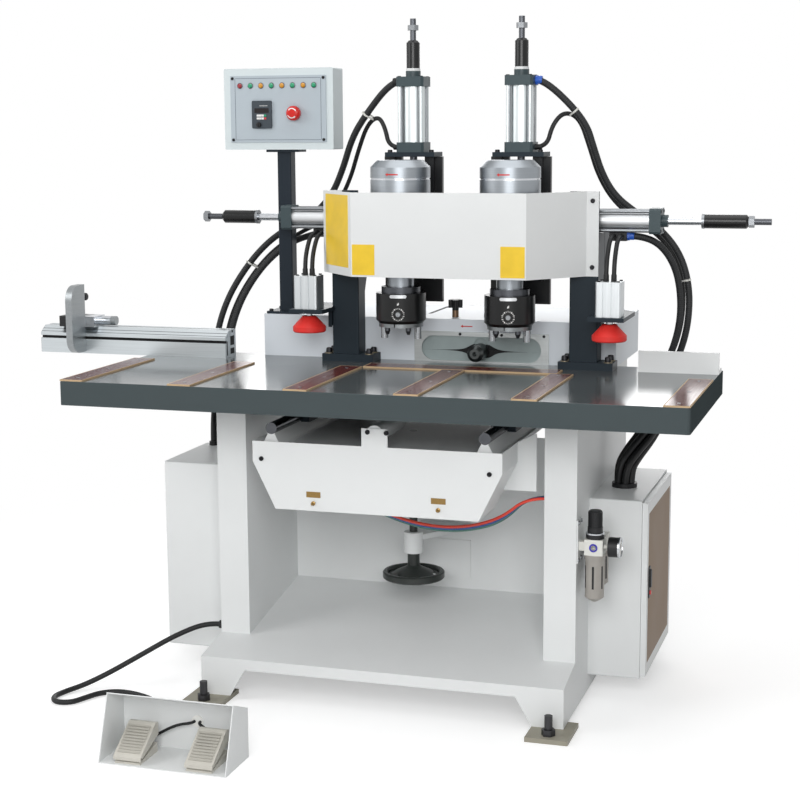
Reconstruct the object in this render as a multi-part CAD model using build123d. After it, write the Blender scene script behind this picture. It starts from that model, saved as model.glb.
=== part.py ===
from build123d import *
import os
from math import cos, pi, radians, sin, tan

# A floor-standing twin-head boring machine for joinery, with one horizontal spindle behind its table.
# Working axes, in millimetres: X along the table from its middle, Y from the table's front edge
# to the back, Z up from the floor. The finished pieces are shifted so that the origin is under
# the middle of the whole machine.

# Running clearances
SLIDE_GAP = 0.3
SHAFT_GAP = 0.15
CRADLE_GAP = 0.2

# Table
TABLE_LENGTH = 1600.0
TABLE_DEPTH = 633.0
TABLE_HEIGHT = 840.0
TABLE_THICKNESS = 62.0
TABLE_CORNER_RADIUS = 8.0
TABLE_CHAMFER = 2.0
TABLE_PLATE = 22.0
TABLE_RIM = 30.0
STRIP_WIDTH = 62.0
STRIP_THICKNESS = 4.0
STRIP_GAP = 2.0
STRIP_LENGTH = 428.0
STRIP_CENTRES = (-768.0, -469.0, -160.0, 123.0, 412.0, 768.0)
CROSS_STRIP_WIDTH = 68.0
CROSS_STRIP_SPAN = (-128.0, 400.0)

# Base
BASE_CENTRE_X = 12.0
BASE_WIDTH = 964.0
BASE_FRONT_Y = 98.0
BASE_DEPTH = 842.0
BASE_SHEET = 6.0
PLINTH_FRONT_HEIGHT = 101.0
PLINTH_BACK_HEIGHT = 193.0
ARCH_HEIGHT = 72.0
ARCH_HALF_WIDTH = 360.0
ARCH_SLANT = 42.0
UPRIGHT_WIDTH = 82.0
UPRIGHT_FRONT_Y = 235.0
UPRIGHT_STEP_GAP = 3.0
WALL_Y = 600.0
WALL_TOP_DROP = 138.0
HATCH_WIDTH = 170.0
HATCH_HEIGHT = 110.0
HATCH_RISE = 28.0
HATCH_THICKNESS = 3.0
FOOT_PLATE_WIDTH = 107.0
FOOT_PLATE_DEPTH = 135.0
FOOT_PLATE_THICKNESS = 12.0
FOOT_PLATE_OVERHANG = 78.0
FOOT_SPACING = 910.0
LEVEL_BOLT_RADIUS = 10.0
LEVEL_BOLT_HEIGHT = 62.0
LEVEL_NUT_ACROSS = 30.0
LEVEL_NUT_HEIGHT = 16.0

# Side cabinets
RIGHT_CABINET_WIDTH = 136.0
RIGHT_CABINET_DEPTH = 424.0
RIGHT_CABINET_HEIGHT = 473.0
RIGHT_CABINET_FRONT_Y = 400.0
RIGHT_CABINET_BOTTOM = 55.0
LEFT_CABINET_WIDTH = 199.0
LEFT_CABINET_DEPTH = 290.0
LEFT_CABINET_HEIGHT = 516.0
LEFT_CABINET_FRONT_Y = 330.0
LEFT_CABINET_BOTTOM = 60.0
CABINET_SHEET = 3.0
CABINET_CORNER_RADIUS = 5.0
DOOR_MARGIN = 12.0
DOOR_THICKNESS = 14.0
DOOR_SHEET = 2.0
DOOR_GAP = 0.5
HINGE_RADIUS = 6.0
HINGE_LENGTH = 44.0

# Gantry
GANTRY_CENTRE_X = 114.0
COLUMN_SPACING = 660.0
COLUMN_WIDTH = 76.0
COLUMN_FRONT_Y = 545.0
COLUMN_FOOT_DEPTH = 60.0
COLUMN_HEIGHT = 356.0
COLUMN_LIP_HEIGHT = 110.0
COLUMN_LIP_THICKNESS = 8.0
COLUMN_EDGE_RADIUS = 4.0
FLANGE_WIDTH = 146.0
FLANGE_DEPTH = 72.0
FLANGE_THICKNESS = 20.0
FLANGE_SHIFT_X = 8.0
BEAM_HEIGHT = 100.0
BEAM_DEPTH = 60.0
RAIL_WIDTH = 12.0
RAIL_HEIGHT = 12.0
RAIL_STACK = 24.0
RAIL_SPACING = 56.0
RAIL_BLOCK_LENGTH = 60.0
RAIL_BLOCK_WIDTH = 34.0

# Front cover
COVER_FRONT_Y = 390.0
COVER_BACK_Y = 530.0
COVER_FRONT_SPAN = (-145.0, 325.0)
COVER_LEFT_WING = 125.0
COVER_RIGHT_WING = 115.0
COVER_STEP = 12.0
COVER_LIP = 32.0
COVER_CLEARANCE = 246.0
COVER_HEIGHT = 220.0
COVER_SHEET = 2.0
COVER_HOLE_RADIUS = 4.0
COVER_HOLE_INSET = 24.0

# Boring heads
HEAD_SPACING = 297.0
HEAD_AXIS_Y = 476.0
LEFT_SHIFT = 55.0
RIGHT_SHIFT = 75.0
MOTOR_RADIUS = 79.0
MOTOR_BODY_RADIUS = 74.0
MOTOR_BOTTOM = 270.0
MOTOR_HEIGHT = 278.0
MOTOR_CAP_HEIGHT = 96.0
MOTOR_CAP_CHAMFER = 18.0
MOTOR_GROOVE_DEPTH = 1.5
MOTOR_GROOVE_WIDTH = 4.0
MOTOR_GAP = 2.0
NECK_RADIUS = 35.0
CASING_RADIUS = 66.5
CASING_WALL = 4.0
CASING_BOTTOM = 120.0
CASING_HEIGHT = 80.0
CASING_CHAMFER = 8.0
COLLAR_RADIUS = 52.0
COLLAR_HEIGHT = 16.0
ARM_PLATE_RADIUS = 59.0
ARM_PLATE_THICKNESS = 10.0
ARM_SPLIT = 3.0
LOCK_NUT_OFFSET = 29.0
LOCK_NUT_RADIUS = 7.5
LOCK_NUT_HEIGHT = 20.0
GEAR_MODULE = 1.5
DRIVE_TEETH = 44
SPINDLE_TEETH = 18
GEAR_WIDTH = 25.0
DRIVE_SHAFT_RADIUS = 12.0
SPINDLE_SHAFT_RADIUS = 8.0
CHUCK_RADIUS = 9.5
CHUCK_LENGTH = 33.0
CHUCK_BORE_RADIUS = 5.0
CHUCK_BORE_DEPTH = 28.0

# Head slides and carriages
SLIDE_THICKNESS = 12.0
SLIDE_WIDTH = 148.0
SLIDE_BOTTOM = 250.0
SLIDE_HEIGHT = 210.0
CRADLE_WIDTH = 136.0
CRADLE_HEIGHT = 100.0
CRADLE_REACH = 57.0
ROD_LUG_WIDTH = 56.0
ROD_LUG_HEIGHT = 33.0
CARRIAGE_WIDTH = 162.0
CARRIAGE_THICKNESS = 15.0
CARRIAGE_BOTTOM = 165.0
CARRIAGE_HEIGHT = 390.0
CARRIAGE_SLOT_WIDTH = 64.0
CARRIAGE_SLOT_DEPTH = 155.0
FRONT_RAIL_SPACING = 110.0
FRONT_RAIL_LENGTH = 330.0
TOP_PLATE_WIDTH = 138.0
TOP_PLATE_THICKNESS = 12.0
TOP_PLATE_FRONT_GAP = 3.0
TOP_PLATE_DEPTH = 80.0
SHIFT_LUG_LENGTH = 24.0
SHIFT_LUG_SIZE = 34.0

# Air cylinders
FEED_CAP = 76.0
FEED_CAP_LENGTH = 26.0
FEED_BARREL_RADIUS = 31.0
FEED_BARREL_LENGTH = 147.0
FEED_GAP = 4.0
SHIFT_CAP = 66.0
SHIFT_CAP_LENGTH = 30.0
SHIFT_BARREL_RADIUS = 28.0
SHIFT_BARREL_LENGTH = 158.0
SHIFT_FRONT_INSET = 14.0
BARREL_WALL = 3.0
TIE_ROD_RADIUS = 4.0
TIE_ROD_INSET = 8.0
FEED_GLAND_RADIUS = 20.0
SHIFT_GLAND_RADIUS = 16.0
GLAND_LENGTH = 15.0
ROD_RADIUS = 10.0
PISTON_LENGTH = 30.0
PISTON_CLEARANCE = 3.0
STOP_SLEEVE_RADIUS = 18.0
STOP_SLEEVE_CHAMFER = 6.0
FEED_SLEEVE_LENGTH = 73.0
LEFT_SLEEVE_LENGTH = 100.0
RIGHT_SLEEVE_LENGTH = 112.0
LEFT_SLEEVE_SPARE = 7.0
RIGHT_SLEEVE_SPARE = 12.0
STOP_RING_RADIUS = 19.0
STOP_RING_LENGTH = 7.0
TAIL_RADIUS = 8.0
TAIL_LENGTH = 57.0
TAIL_NUT_ACROSS = 26.0
TAIL_NUT_LENGTH = 14.0
FEED_NUT_PLACE = 26.0
LEFT_NUT_PLACE = 43.0
RIGHT_NUT_PLACE = 0.0

# Work clamps
CLAMP_SPACING = 822.0
CLAMP_Y = 480.0
CLAMP_BODY_WIDTH = 66.0
CLAMP_BODY_DEPTH = 60.0
CLAMP_BODY_HEIGHT = 90.0
CLAMP_BODY_RADIUS = 6.0
CLAMP_GROOVE = 3.0
CLAMP_PLATE_HEIGHT = 139.0
CLAMP_PLATE_THICKNESS = 11.0
CLAMP_PLATE_WIDTH = 87.0
CLAMP_PLATE_FRONT_Y = 438.0
CLAMP_ARM_BACK_Y = 640.0
CLAMP_WEB_THICKNESS = 10.0
CLAMP_WEB_DEPTH = 46.0
CLAMP_ROD_RADIUS = 8.0
CLAMP_ROD_HOLE = 14.0
PAD_RADIUS = 45.0
PAD_RIM_HEIGHT = 18.0
PAD_HEIGHT = 44.0
PAD_NECK_RADIUS = 18.0
PAD_CLEARANCE = 86.0

# Control box
BOX_WIDTH = 322.0
BOX_HEIGHT = 222.0
BOX_DEPTH = 80.0
BOX_CENTRE_X = -432.0
BOX_BOTTOM = 1414.0
BOX_FRONT_Y = 620.0
BOX_EDGE_RADIUS = 4.0
PANEL_MARGIN = 20.0
PANEL_THICKNESS = 3.0
TIMER_WIDTH = 58.0
TIMER_HEIGHT = 76.0
TIMER_DEPTH = 7.0
TIMER_PLACE = (-46.0, 96.0)
LAMP_COUNT = 8
LAMP_PITCH = 31.2
LAMP_RADIUS = 6.5
LAMP_DEPTH = 6.0
LAMP_PLACE = (-2.5, 175.0)
STOP_BUTTON_PLACE = (50.0, 99.0)
STOP_BUTTON_RADIUS = 20.0
STOP_BUTTON_DEPTH = 26.0
STOP_BUTTON_TRAVEL = 6.0
STOP_STEM_RADIUS = 7.5
POST_SIZE = 40.0
POST_X = -426.0
POST_Y = 660.0
POST_PLATE = 96.0
POST_PLATE_THICKNESS = 7.0

# Rear housing and its window
HOUSING_SPAN = (-479.0, 521.0)
HOUSING_FRONT_Y = 605.0
HOUSING_DEPTH = 355.0
HOUSING_HEIGHT = 117.0
HOUSING_SHEET = 2.5
WINDOW_CENTRE_X = 152.0
WINDOW_WIDTH = 376.0
WINDOW_HEIGHT = 83.0
WINDOW_THICKNESS = 4.0
WINDOW_SLOT_WIDTH = 334.0
WINDOW_SLOT_HEIGHT = 67.0
WINDOW_SLOT_BOTTOM = 4.0
CURTAIN_MARGIN = 9.0
CURTAIN_SLIT_LENGTH = 268.0
CURTAIN_SLIT_RISE = 18.4
CURTAIN_GAP = 1.0
KNOB_X = 66.0
KNOB_Y = 655.0
KNOB_LOBES = 5
KNOB_RADIUS = 17.0
KNOB_LOBE_RADIUS = 6.5
KNOB_HEIGHT = 22.0
KNOB_STEM_RADIUS = 9.0
KNOB_STEM_HEIGHT = 26.0

# Horizontal spindle and its slides
SPINDLE_HEIGHT = 32.0
SPINDLE_NOSE_Y = 535.0
NOSE_RADIUS = 22.5
NOSE_LENGTH = 62.0
COLLET_BORE_RADIUS = 6.0
COLLET_BORE_DEPTH = 30.0
QUILL_RADIUS = 17.0
QUILL_BORE_RADIUS = 9.0
UNIT_MOTOR_RADIUS = 46.0
UNIT_MOTOR_LENGTH = 190.0
UNIT_FRONT_Y = 740.0
SPINDLE_FEED = 90.0
CROSS_PLATE_THICKNESS = 12.0
CROSS_PLATE_WIDTH = 200.0
CROSS_RAIL_SIZE = 14.0
CROSS_RAIL_SPACING = 120.0
RISER_WIDTH = 360.0
RISER_DEPTH = 180.0
RISER_HEIGHT = 45.0
SADDLE_THICKNESS = 10.0
SADDLE_FRONT_Y = 300.0
SADDLE_LENGTH = 630.0
SADDLE_CLEARANCE = 23.0
RAIL_CENTRE_DROP = 35.0
ROUND_RAIL_RADIUS = 15.0
ROUND_RAIL_SPACING = 560.0
ROUND_RAIL_FRONT_Y = 132.0
ROUND_RAIL_LENGTH = 790.0
RAIL_FOOT_WIDTH = 46.0
RAIL_NECK_WIDTH = 13.0
BEARING_LENGTH = 80.0
BEARING_WIDTH = 66.0
BEARING_DROP = 14.0
BEARING_PLACES = (20.0, 480.0)
KNEE_CENTRE_X = 5.0
KNEE_WIDTH = 620.0
KNEE_PLATE_THICKNESS = 12.0
KNEE_LENGTH = 800.0
RAIL_SUPPORT_HEIGHT = 48.0
APRON_Y = 120.0
APRON_WIDTH = 654.0
APRON_RISE = 16.0
APRON_SIDE = 52.0
APRON_HEIGHT = 173.0
APRON_BOTTOM_WIDTH = 534.0
APRON_SHEET = 3.0
APRON_RETURN = 165.0
WING_REACH = 49.0
WING_RISE = 24.0
WING_DROP = 125.0
APRON_TAB_WIDTH = 68.0
APRON_TAB_HEIGHT = 46.0
KNEE_WAY_WIDTH = 40.0
KNEE_WAY_THICKNESS = 12.0
KNEE_WAY_SPACING = 240.0
KNEE_WAY_LENGTH = 220.0
KNEE_SHOE_WIDTH = 320.0
KNEE_SHOE_THICKNESS = 12.0
KNEE_SHOE_CLEARANCE = 74.0
FEED_TUBE_RADIUS = 22.0
FEED_TUBE_LENGTH = 190.0
FEED_TUBE_ROD = 8.0
FEED_LUG_Y = 440.0
FEED_LUG_SIZE = 36.0

# Lifting screw
SCREW_Y = 450.0
SCREW_RADIUS = 11.0
SCREW_NUT_RADIUS = 26.0
SCREW_NUT_HEIGHT = 60.0
BEARING_HOUSE_RADIUS = 26.0
BEARING_HOUSE_HEIGHT = 57.0
BRACKET_THICKNESS = 14.0
BRACKET_DROP = 21.0
BRACKET_WIDTH = 130.0
WHEEL_RADIUS = 84.0
WHEEL_RIM_WIDTH = 14.0
WHEEL_RIM_HEIGHT = 20.0
WHEEL_DISH = 20.0
WHEEL_WEB = 5.0
WHEEL_RISE = 73.0
WHEEL_SHANK = 61.0
WHEEL_HUB_RADIUS = 24.0
WHEEL_SHANK_RADIUS = 16.5
WHEEL_SLOTS = 3
WHEEL_SLOT_ANGLE = 74.0
WHEEL_SLOT_TURN = 30.0
WHEEL_SLOT_WIDTH = 17.0

# Fences and the length stop
FENCE_LEFT = -1132.0
FENCE_LENGTH = 575.0
FENCE_FRONT_Y = 505.0
FENCE_DEPTH = 74.0
FENCE_FRONT_HEIGHT = 57.0
FENCE_BACK_HEIGHT = 75.0
FENCE_STEP = 26.0
FENCE_SLOT = 8.0
REAR_FENCE_SPAN = (591.0, 799.0)
REAR_FENCE_Y = 540.0
REAR_FENCE_HEIGHT = 56.0
REAR_FENCE_THICKNESS = 10.0
REAR_FENCE_FOOT = 60.0
STOP_X = -998.0
STOP_PLATE_THICKNESS = 20.0
STOP_PLATE_DEPTH = 78.0
STOP_PLATE_HEIGHT = 192.0
STOP_PLATE_LIFT = 6.0
STOP_PLATE_RADIUS = 42.0
STOP_SLIDER_LENGTH = 110.0
STOP_SLIDER_HEIGHT = 30.0
STOP_SCREW_RADIUS = 13.0
STOP_SCREW_LENGTH = 46.0
STOP_KNOB_X = -1034.0
STOP_KNOB_STEM = 46.0
STOP_KNOB_STEM_RADIUS = 9.0
STOP_KNOB_LENGTH = 56.0
STOP_KNOB_RADIUS = 11.0

# Air service unit
SERVICE_X = 536.0
SERVICE_Y = 262.0
SERVICE_BODY = 46.0
SERVICE_BODY_BOTTOM = 418.0
SERVICE_BODY_HEIGHT = 40.0
SERVICE_PITCH = 56.0
SERVICE_BRACKET_HEIGHT = 110.0
SERVICE_BRACKET_THICKNESS = 3.0
BOWL_RADIUS = 24.0
BOWL_LENGTH = 122.0
REAR_BOWL_LENGTH = 98.0
BOWL_COLLAR_RADIUS = 26.0
REGULATOR_RADIUS = 17.0
REGULATOR_HEIGHT = 56.0
REGULATOR_RING_RADIUS = 23.0
REGULATOR_FLANGE = 2.0
REGULATOR_RING_HEIGHT = 15.0
GAUGE_RADIUS = 25.0
GAUGE_DEPTH = 28.0
GAUGE_STEM = 12.0
INLET_RADIUS = 6.5
INLET_DEPTH = 16.0

# Foot switch
HOOD_CENTRE_X = -352.0
HOOD_WIDTH = 325.0
HOOD_FRONT_Y = -400.0
HOOD_DEPTH = 140.0
HOOD_BACK_HEIGHT = 122.0
HOOD_TOP_HEIGHT = 156.0
HOOD_TOP_SETBACK = 56.0
HOOD_SHEET = 2.5
PEDAL_SPACING = 182.0
PEDAL_WIDTH = 70.0
PEDAL_LENGTH = 100.0
PEDAL_FRONT_Y = -392.0
PEDAL_BACK_HEIGHT = 78.0
PEDAL_TOE_HEIGHT = 20.0
PEDAL_HINGE_HEIGHT = 14.0
PEDAL_HEEL_HEIGHT = 46.0
PEDAL_BASE_HEIGHT = 26.0
PEDAL_CORNER_RADIUS = 9.0
PEDAL_PIN_RADIUS = 3.0
PEDAL_PIN_HEIGHT = 16.0
PEDAL_PIN_SETBACK = 8.0
GROMMET_X = -318.0
GROMMET_Z = 76.0
GROMMET_RADIUS = 15.0

# Hoses and cables
HOSE_RADIUS = 9.0
THIN_HOSE_RADIUS = 6.0
CLAMP_HOSE_RADIUS = 6.0
CLAMP_HOSE_SPACING = 20.0
CONDUIT_RADIUS = 29.0
CONDUIT_X = 556.0
CONDUIT_Y = 565.0
COLLAR_WALL = 4.0
COLLAR_RISE = 12.0
LEFT_GLAND_X = (-634.0, -594.0)
LEFT_GLAND_Y = 585.0
THIN_GLAND = (-614.0, 607.0)
MANIFOLD_WIDTH = 46.0
MANIFOLD_DEPTH = 36.0
MANIFOLD_HEIGHT = 26.0
CABLE_RADIUS = 7.0
PEDAL_GLAND_Y = 252.0
PEDAL_GLAND_Z = 153.0
LEAD_RADIUS = 3.5
LEAD_SETBACK = 12.5
TUBE_RADIUS = 4.0
TUBE_COUNT = 3
TUBE_PITCH = 10.0

# Places worked out from the driving dimensions
table_half = TABLE_LENGTH / 2
table_under = TABLE_HEIGHT - TABLE_THICKNESS
base_left = BASE_CENTRE_X - BASE_WIDTH / 2
base_right = BASE_CENTRE_X + BASE_WIDTH / 2
base_back_y = BASE_FRONT_Y + BASE_DEPTH
plinth_bottom = FOOT_PLATE_THICKNESS
plinth_front_top = plinth_bottom + PLINTH_FRONT_HEIGHT
plinth_back_top = plinth_bottom + PLINTH_BACK_HEIGHT
slide_front_y = HEAD_AXIS_Y + MOTOR_RADIUS + MOTOR_GAP
slide_back_y = slide_front_y + SLIDE_THICKNESS
carriage_front_y = slide_back_y + RAIL_STACK
carriage_back_y = carriage_front_y + CARRIAGE_THICKNESS
beam_front_y = carriage_back_y + RAIL_STACK
feed_axis_y = HEAD_AXIS_Y + MOTOR_RADIUS + FEED_GAP + FEED_CAP / 2
shift_axis_y = (carriage_front_y + carriage_back_y) / 2
column_top = TABLE_HEIGHT + COLUMN_HEIGHT
shift_axis_z = column_top + SHIFT_CAP / 2
carriage_bottom = TABLE_HEIGHT + CARRIAGE_BOTTOM
carriage_top = carriage_bottom + CARRIAGE_HEIGHT
feed_bottom = carriage_top + TOP_PLATE_THICKNESS
feed_top = feed_bottom + 2 * FEED_CAP_LENGTH + FEED_BARREL_LENGTH + GLAND_LENGTH
slide_bottom = TABLE_HEIGHT + SLIDE_BOTTOM
slide_top = slide_bottom + SLIDE_HEIGHT
motor_bottom = TABLE_HEIGHT + MOTOR_BOTTOM
casing_bottom = TABLE_HEIGHT + CASING_BOTTOM
casing_top = casing_bottom + CASING_HEIGHT
collar_top = casing_top + COLLAR_HEIGHT
arm_bottom = casing_bottom - ARM_PLATE_THICKNESS
gear_bottom = casing_bottom + CASING_HEIGHT / 2 - GEAR_WIDTH / 2
spindle_offset = GEAR_MODULE * (DRIVE_TEETH + SPINDLE_TEETH) / 2
clamp_plate_bottom = TABLE_HEIGHT + CLAMP_PLATE_HEIGHT
clamp_plate_top = clamp_plate_bottom + CLAMP_PLATE_THICKNESS
housing_top = TABLE_HEIGHT + HOUSING_HEIGHT
housing_back_y = HOUSING_FRONT_Y + HOUSING_DEPTH
spindle_z = TABLE_HEIGHT + SPINDLE_HEIGHT
saddle_top = table_under - SADDLE_CLEARANCE
saddle_bottom = saddle_top - SADDLE_THICKNESS
round_rail_z = saddle_top - RAIL_CENTRE_DROP
knee_top = round_rail_z - RAIL_SUPPORT_HEIGHT
knee_bottom = knee_top - KNEE_PLATE_THICKNESS
apron_top = knee_top + APRON_RISE
wall_top = table_under - WALL_TOP_DROP
wheel_z = plinth_back_top + WHEEL_RISE
house_bottom = wheel_z + WHEEL_SHANK
house_top = house_bottom + BEARING_HOUSE_HEIGHT
knee_left = KNEE_CENTRE_X - KNEE_WIDTH / 2
knee_right = KNEE_CENTRE_X + KNEE_WIDTH / 2
riser_top = saddle_top + RISER_HEIGHT
cabinet_right = base_right + RIGHT_CABINET_WIDTH
door_hinge_y = RIGHT_CABINET_FRONT_Y + RIGHT_CABINET_DEPTH - DOOR_MARGIN
hood_back_y = HOOD_FRONT_Y + HOOD_DEPTH

parts = {}


def node(name, *solids):
    """Keep the solids of one named piece."""
    parts[name] = list(solids)


def block(x, y, z):
    """A box between the low and high values given for each axis."""
    size = (x[1] - x[0], y[1] - y[0], z[1] - z[0])
    return Pos((x[0] + x[1]) / 2, (y[0] + y[1]) / 2, (z[0] + z[1]) / 2) * Box(*size)


def around(centre, width):
    """The span of a width about its centre."""
    return (centre - width / 2, centre + width / 2)


def rod_x(y, z, radius, span):
    """A round bar along X."""
    return Pos((span[0] + span[1]) / 2, y, z) * Rot(0, 90, 0) * Cylinder(radius, span[1] - span[0])


def rod_y(x, z, radius, span):
    """A round bar along Y."""
    return Pos(x, (span[0] + span[1]) / 2, z) * Rot(90, 0, 0) * Cylinder(radius, span[1] - span[0])


def rod_z(x, y, radius, span):
    """A round bar along Z."""
    return Pos(x, y, (span[0] + span[1]) / 2) * Cylinder(radius, span[1] - span[0])


def turned(*profile):
    """A shape turned about Z from radius and height pairs."""
    return revolve(Plane.XZ * make_face(Polyline(*profile, close=True)), Axis.Z)


def side_shape(points, x):
    """A prism along X from a closed outline of Y and Z pairs."""
    face = make_face(Polyline(*[(x[0], y, z) for y, z in points], close=True))
    return extrude(face, x[1] - x[0], dir=(1, 0, 0))


def front_shape(points, y):
    """A prism along Y from a closed outline of X and Z pairs."""
    face = make_face(Polyline(*[(px, y[0], pz) for px, pz in points], close=True))
    return extrude(face, y[1] - y[0], dir=(0, 1, 0))


def plan_shape(points, z):
    """A prism along Z from a closed outline of X and Y pairs."""
    face = make_face(Polyline(*[(px, py, z[0]) for px, py in points], close=True))
    return extrude(face, z[1] - z[0], dir=(0, 0, 1))


def hexagon(across, height):
    """A hexagonal prism standing on z = 0."""
    return extrude(RegularPolygon(across / 2, 6, major_radius=False), height)


def plinth_top_at(y):
    """Height of the plinth's sloping tray at a depth."""
    share = (y - BASE_FRONT_Y) / (WALL_Y - BASE_FRONT_Y)
    return plinth_front_top + share * (plinth_back_top - plinth_front_top)


def make_plinth():
    """The low hollow base with a sloping tray and an arch between the feet."""
    outer = [
        (BASE_FRONT_Y, plinth_bottom),
        (BASE_FRONT_Y, plinth_front_top),
        (WALL_Y, plinth_back_top),
        (base_back_y, plinth_back_top),
        (base_back_y, plinth_bottom),
    ]
    inner = [
        (BASE_FRONT_Y + BASE_SHEET, 0),
        (BASE_FRONT_Y + BASE_SHEET, plinth_front_top - BASE_SHEET),
        (WALL_Y, plinth_back_top - BASE_SHEET),
        (base_back_y - BASE_SHEET, plinth_back_top - BASE_SHEET),
        (base_back_y - BASE_SHEET, 0),
    ]
    shell = side_shape(outer, (base_left, base_right))
    shell -= side_shape(inner, (base_left + BASE_SHEET, base_right - BASE_SHEET))
    foot = ARCH_HALF_WIDTH + ARCH_SLANT
    arch = [
        (BASE_CENTRE_X - foot, plinth_bottom),
        (BASE_CENTRE_X - ARCH_HALF_WIDTH, plinth_bottom + ARCH_HEIGHT),
        (BASE_CENTRE_X + ARCH_HALF_WIDTH, plinth_bottom + ARCH_HEIGHT),
        (BASE_CENTRE_X + foot, plinth_bottom),
    ]
    shell -= front_shape(arch, (BASE_FRONT_Y - 1, base_back_y + 1))
    node("base_plinth", shell)


def make_uprights():
    """Two hollow side uprights that carry the table and, behind it, the rear housing."""
    step_y = TABLE_DEPTH + UPRIGHT_STEP_GAP
    outer = [
        (UPRIGHT_FRONT_Y, plinth_top_at(UPRIGHT_FRONT_Y)),
        (WALL_Y, plinth_back_top),
        (base_back_y, plinth_back_top),
        (base_back_y, TABLE_HEIGHT),
        (step_y, TABLE_HEIGHT),
        (step_y, table_under),
        (UPRIGHT_FRONT_Y, table_under),
    ]
    inner = [
        (UPRIGHT_FRONT_Y + BASE_SHEET, plinth_bottom),
        (base_back_y - BASE_SHEET, plinth_bottom),
        (base_back_y - BASE_SHEET, table_under - BASE_SHEET),
        (UPRIGHT_FRONT_Y + BASE_SHEET, table_under - BASE_SHEET),
    ]
    solids = []
    for left in (base_left, base_right - UPRIGHT_WIDTH):
        span = (left, left + UPRIGHT_WIDTH)
        hollow = (span[0] + BASE_SHEET, span[1] - BASE_SHEET)
        solids.append(side_shape(outer, span) - side_shape(inner, hollow))
    gland = (base_left - COLLAR_RISE, base_left)
    solids[0] += rod_x(PEDAL_GLAND_Y, PEDAL_GLAND_Z, CABLE_RADIUS + COLLAR_WALL, gland)
    node("side_uprights", *solids)


def make_back_wall():
    """The bay's back wall with its hatch, the knee's two ways and the lifting screw's bracket."""
    inner = (base_left + UPRIGHT_WIDTH, base_right - UPRIGHT_WIDTH)
    wall = block(inner, (WALL_Y, WALL_Y + BASE_SHEET), (plinth_back_top, wall_top))
    hatch_left = KNEE_CENTRE_X + KNEE_WAY_SPACING / 2 - HATCH_WIDTH
    hatch_bottom = plinth_back_top + HATCH_RISE
    wall += block(
        (hatch_left, hatch_left + HATCH_WIDTH),
        (WALL_Y - HATCH_THICKNESS, WALL_Y),
        (hatch_bottom, hatch_bottom + HATCH_HEIGHT),
    )
    for side in (-1, 1):
        way_x = KNEE_CENTRE_X + side * KNEE_WAY_SPACING / 2
        wall += block(
            around(way_x, KNEE_WAY_WIDTH),
            (WALL_Y - KNEE_WAY_THICKNESS, WALL_Y),
            (wall_top - KNEE_WAY_LENGTH, wall_top),
        )
    arm_bottom_z = house_top - BRACKET_DROP
    arm = [
        (KNEE_CENTRE_X - BEARING_HOUSE_RADIUS, SCREW_Y),
        (KNEE_CENTRE_X + BEARING_HOUSE_RADIUS, SCREW_Y),
        (KNEE_CENTRE_X + BRACKET_WIDTH, WALL_Y),
        (KNEE_CENTRE_X - BEARING_HOUSE_RADIUS, WALL_Y),
    ]
    wall += plan_shape(arm, (arm_bottom_z, arm_bottom_z + BRACKET_THICKNESS))
    house = (house_bottom, house_top)
    wall += rod_z(KNEE_CENTRE_X, SCREW_Y, BEARING_HOUSE_RADIUS, house)
    wall -= rod_z(KNEE_CENTRE_X, SCREW_Y, SCREW_RADIUS + SHAFT_GAP, house)
    node("back_wall", wall)


def make_feet():
    """Four foot plates, each with a levelling bolt and its nut."""
    solids = []
    front = BASE_FRONT_Y - FOOT_PLATE_OVERHANG
    back = base_back_y + FOOT_PLATE_OVERHANG - FOOT_PLATE_DEPTH
    for x in (BASE_CENTRE_X - FOOT_SPACING / 2, BASE_CENTRE_X + FOOT_SPACING / 2):
        places = (
            (front, front + LEVEL_NUT_ACROSS),
            (back, back + FOOT_PLATE_DEPTH - LEVEL_NUT_ACROSS),
        )
        for y, bolt_y in places:
            plate = block(around(x, FOOT_PLATE_WIDTH), (y, y + FOOT_PLATE_DEPTH), (0, FOOT_PLATE_THICKNESS))
            plate -= rod_z(x, bolt_y, LEVEL_BOLT_RADIUS, (0, FOOT_PLATE_THICKNESS))
            solids.append(plate)
            bolt = rod_z(x, bolt_y, LEVEL_BOLT_RADIUS, (0, LEVEL_BOLT_HEIGHT))
            bolt += Pos(x, bolt_y, FOOT_PLATE_THICKNESS) * hexagon(LEVEL_NUT_ACROSS, LEVEL_NUT_HEIGHT)
            solids.append(bolt)
    node("levelling_feet", *solids)


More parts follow.
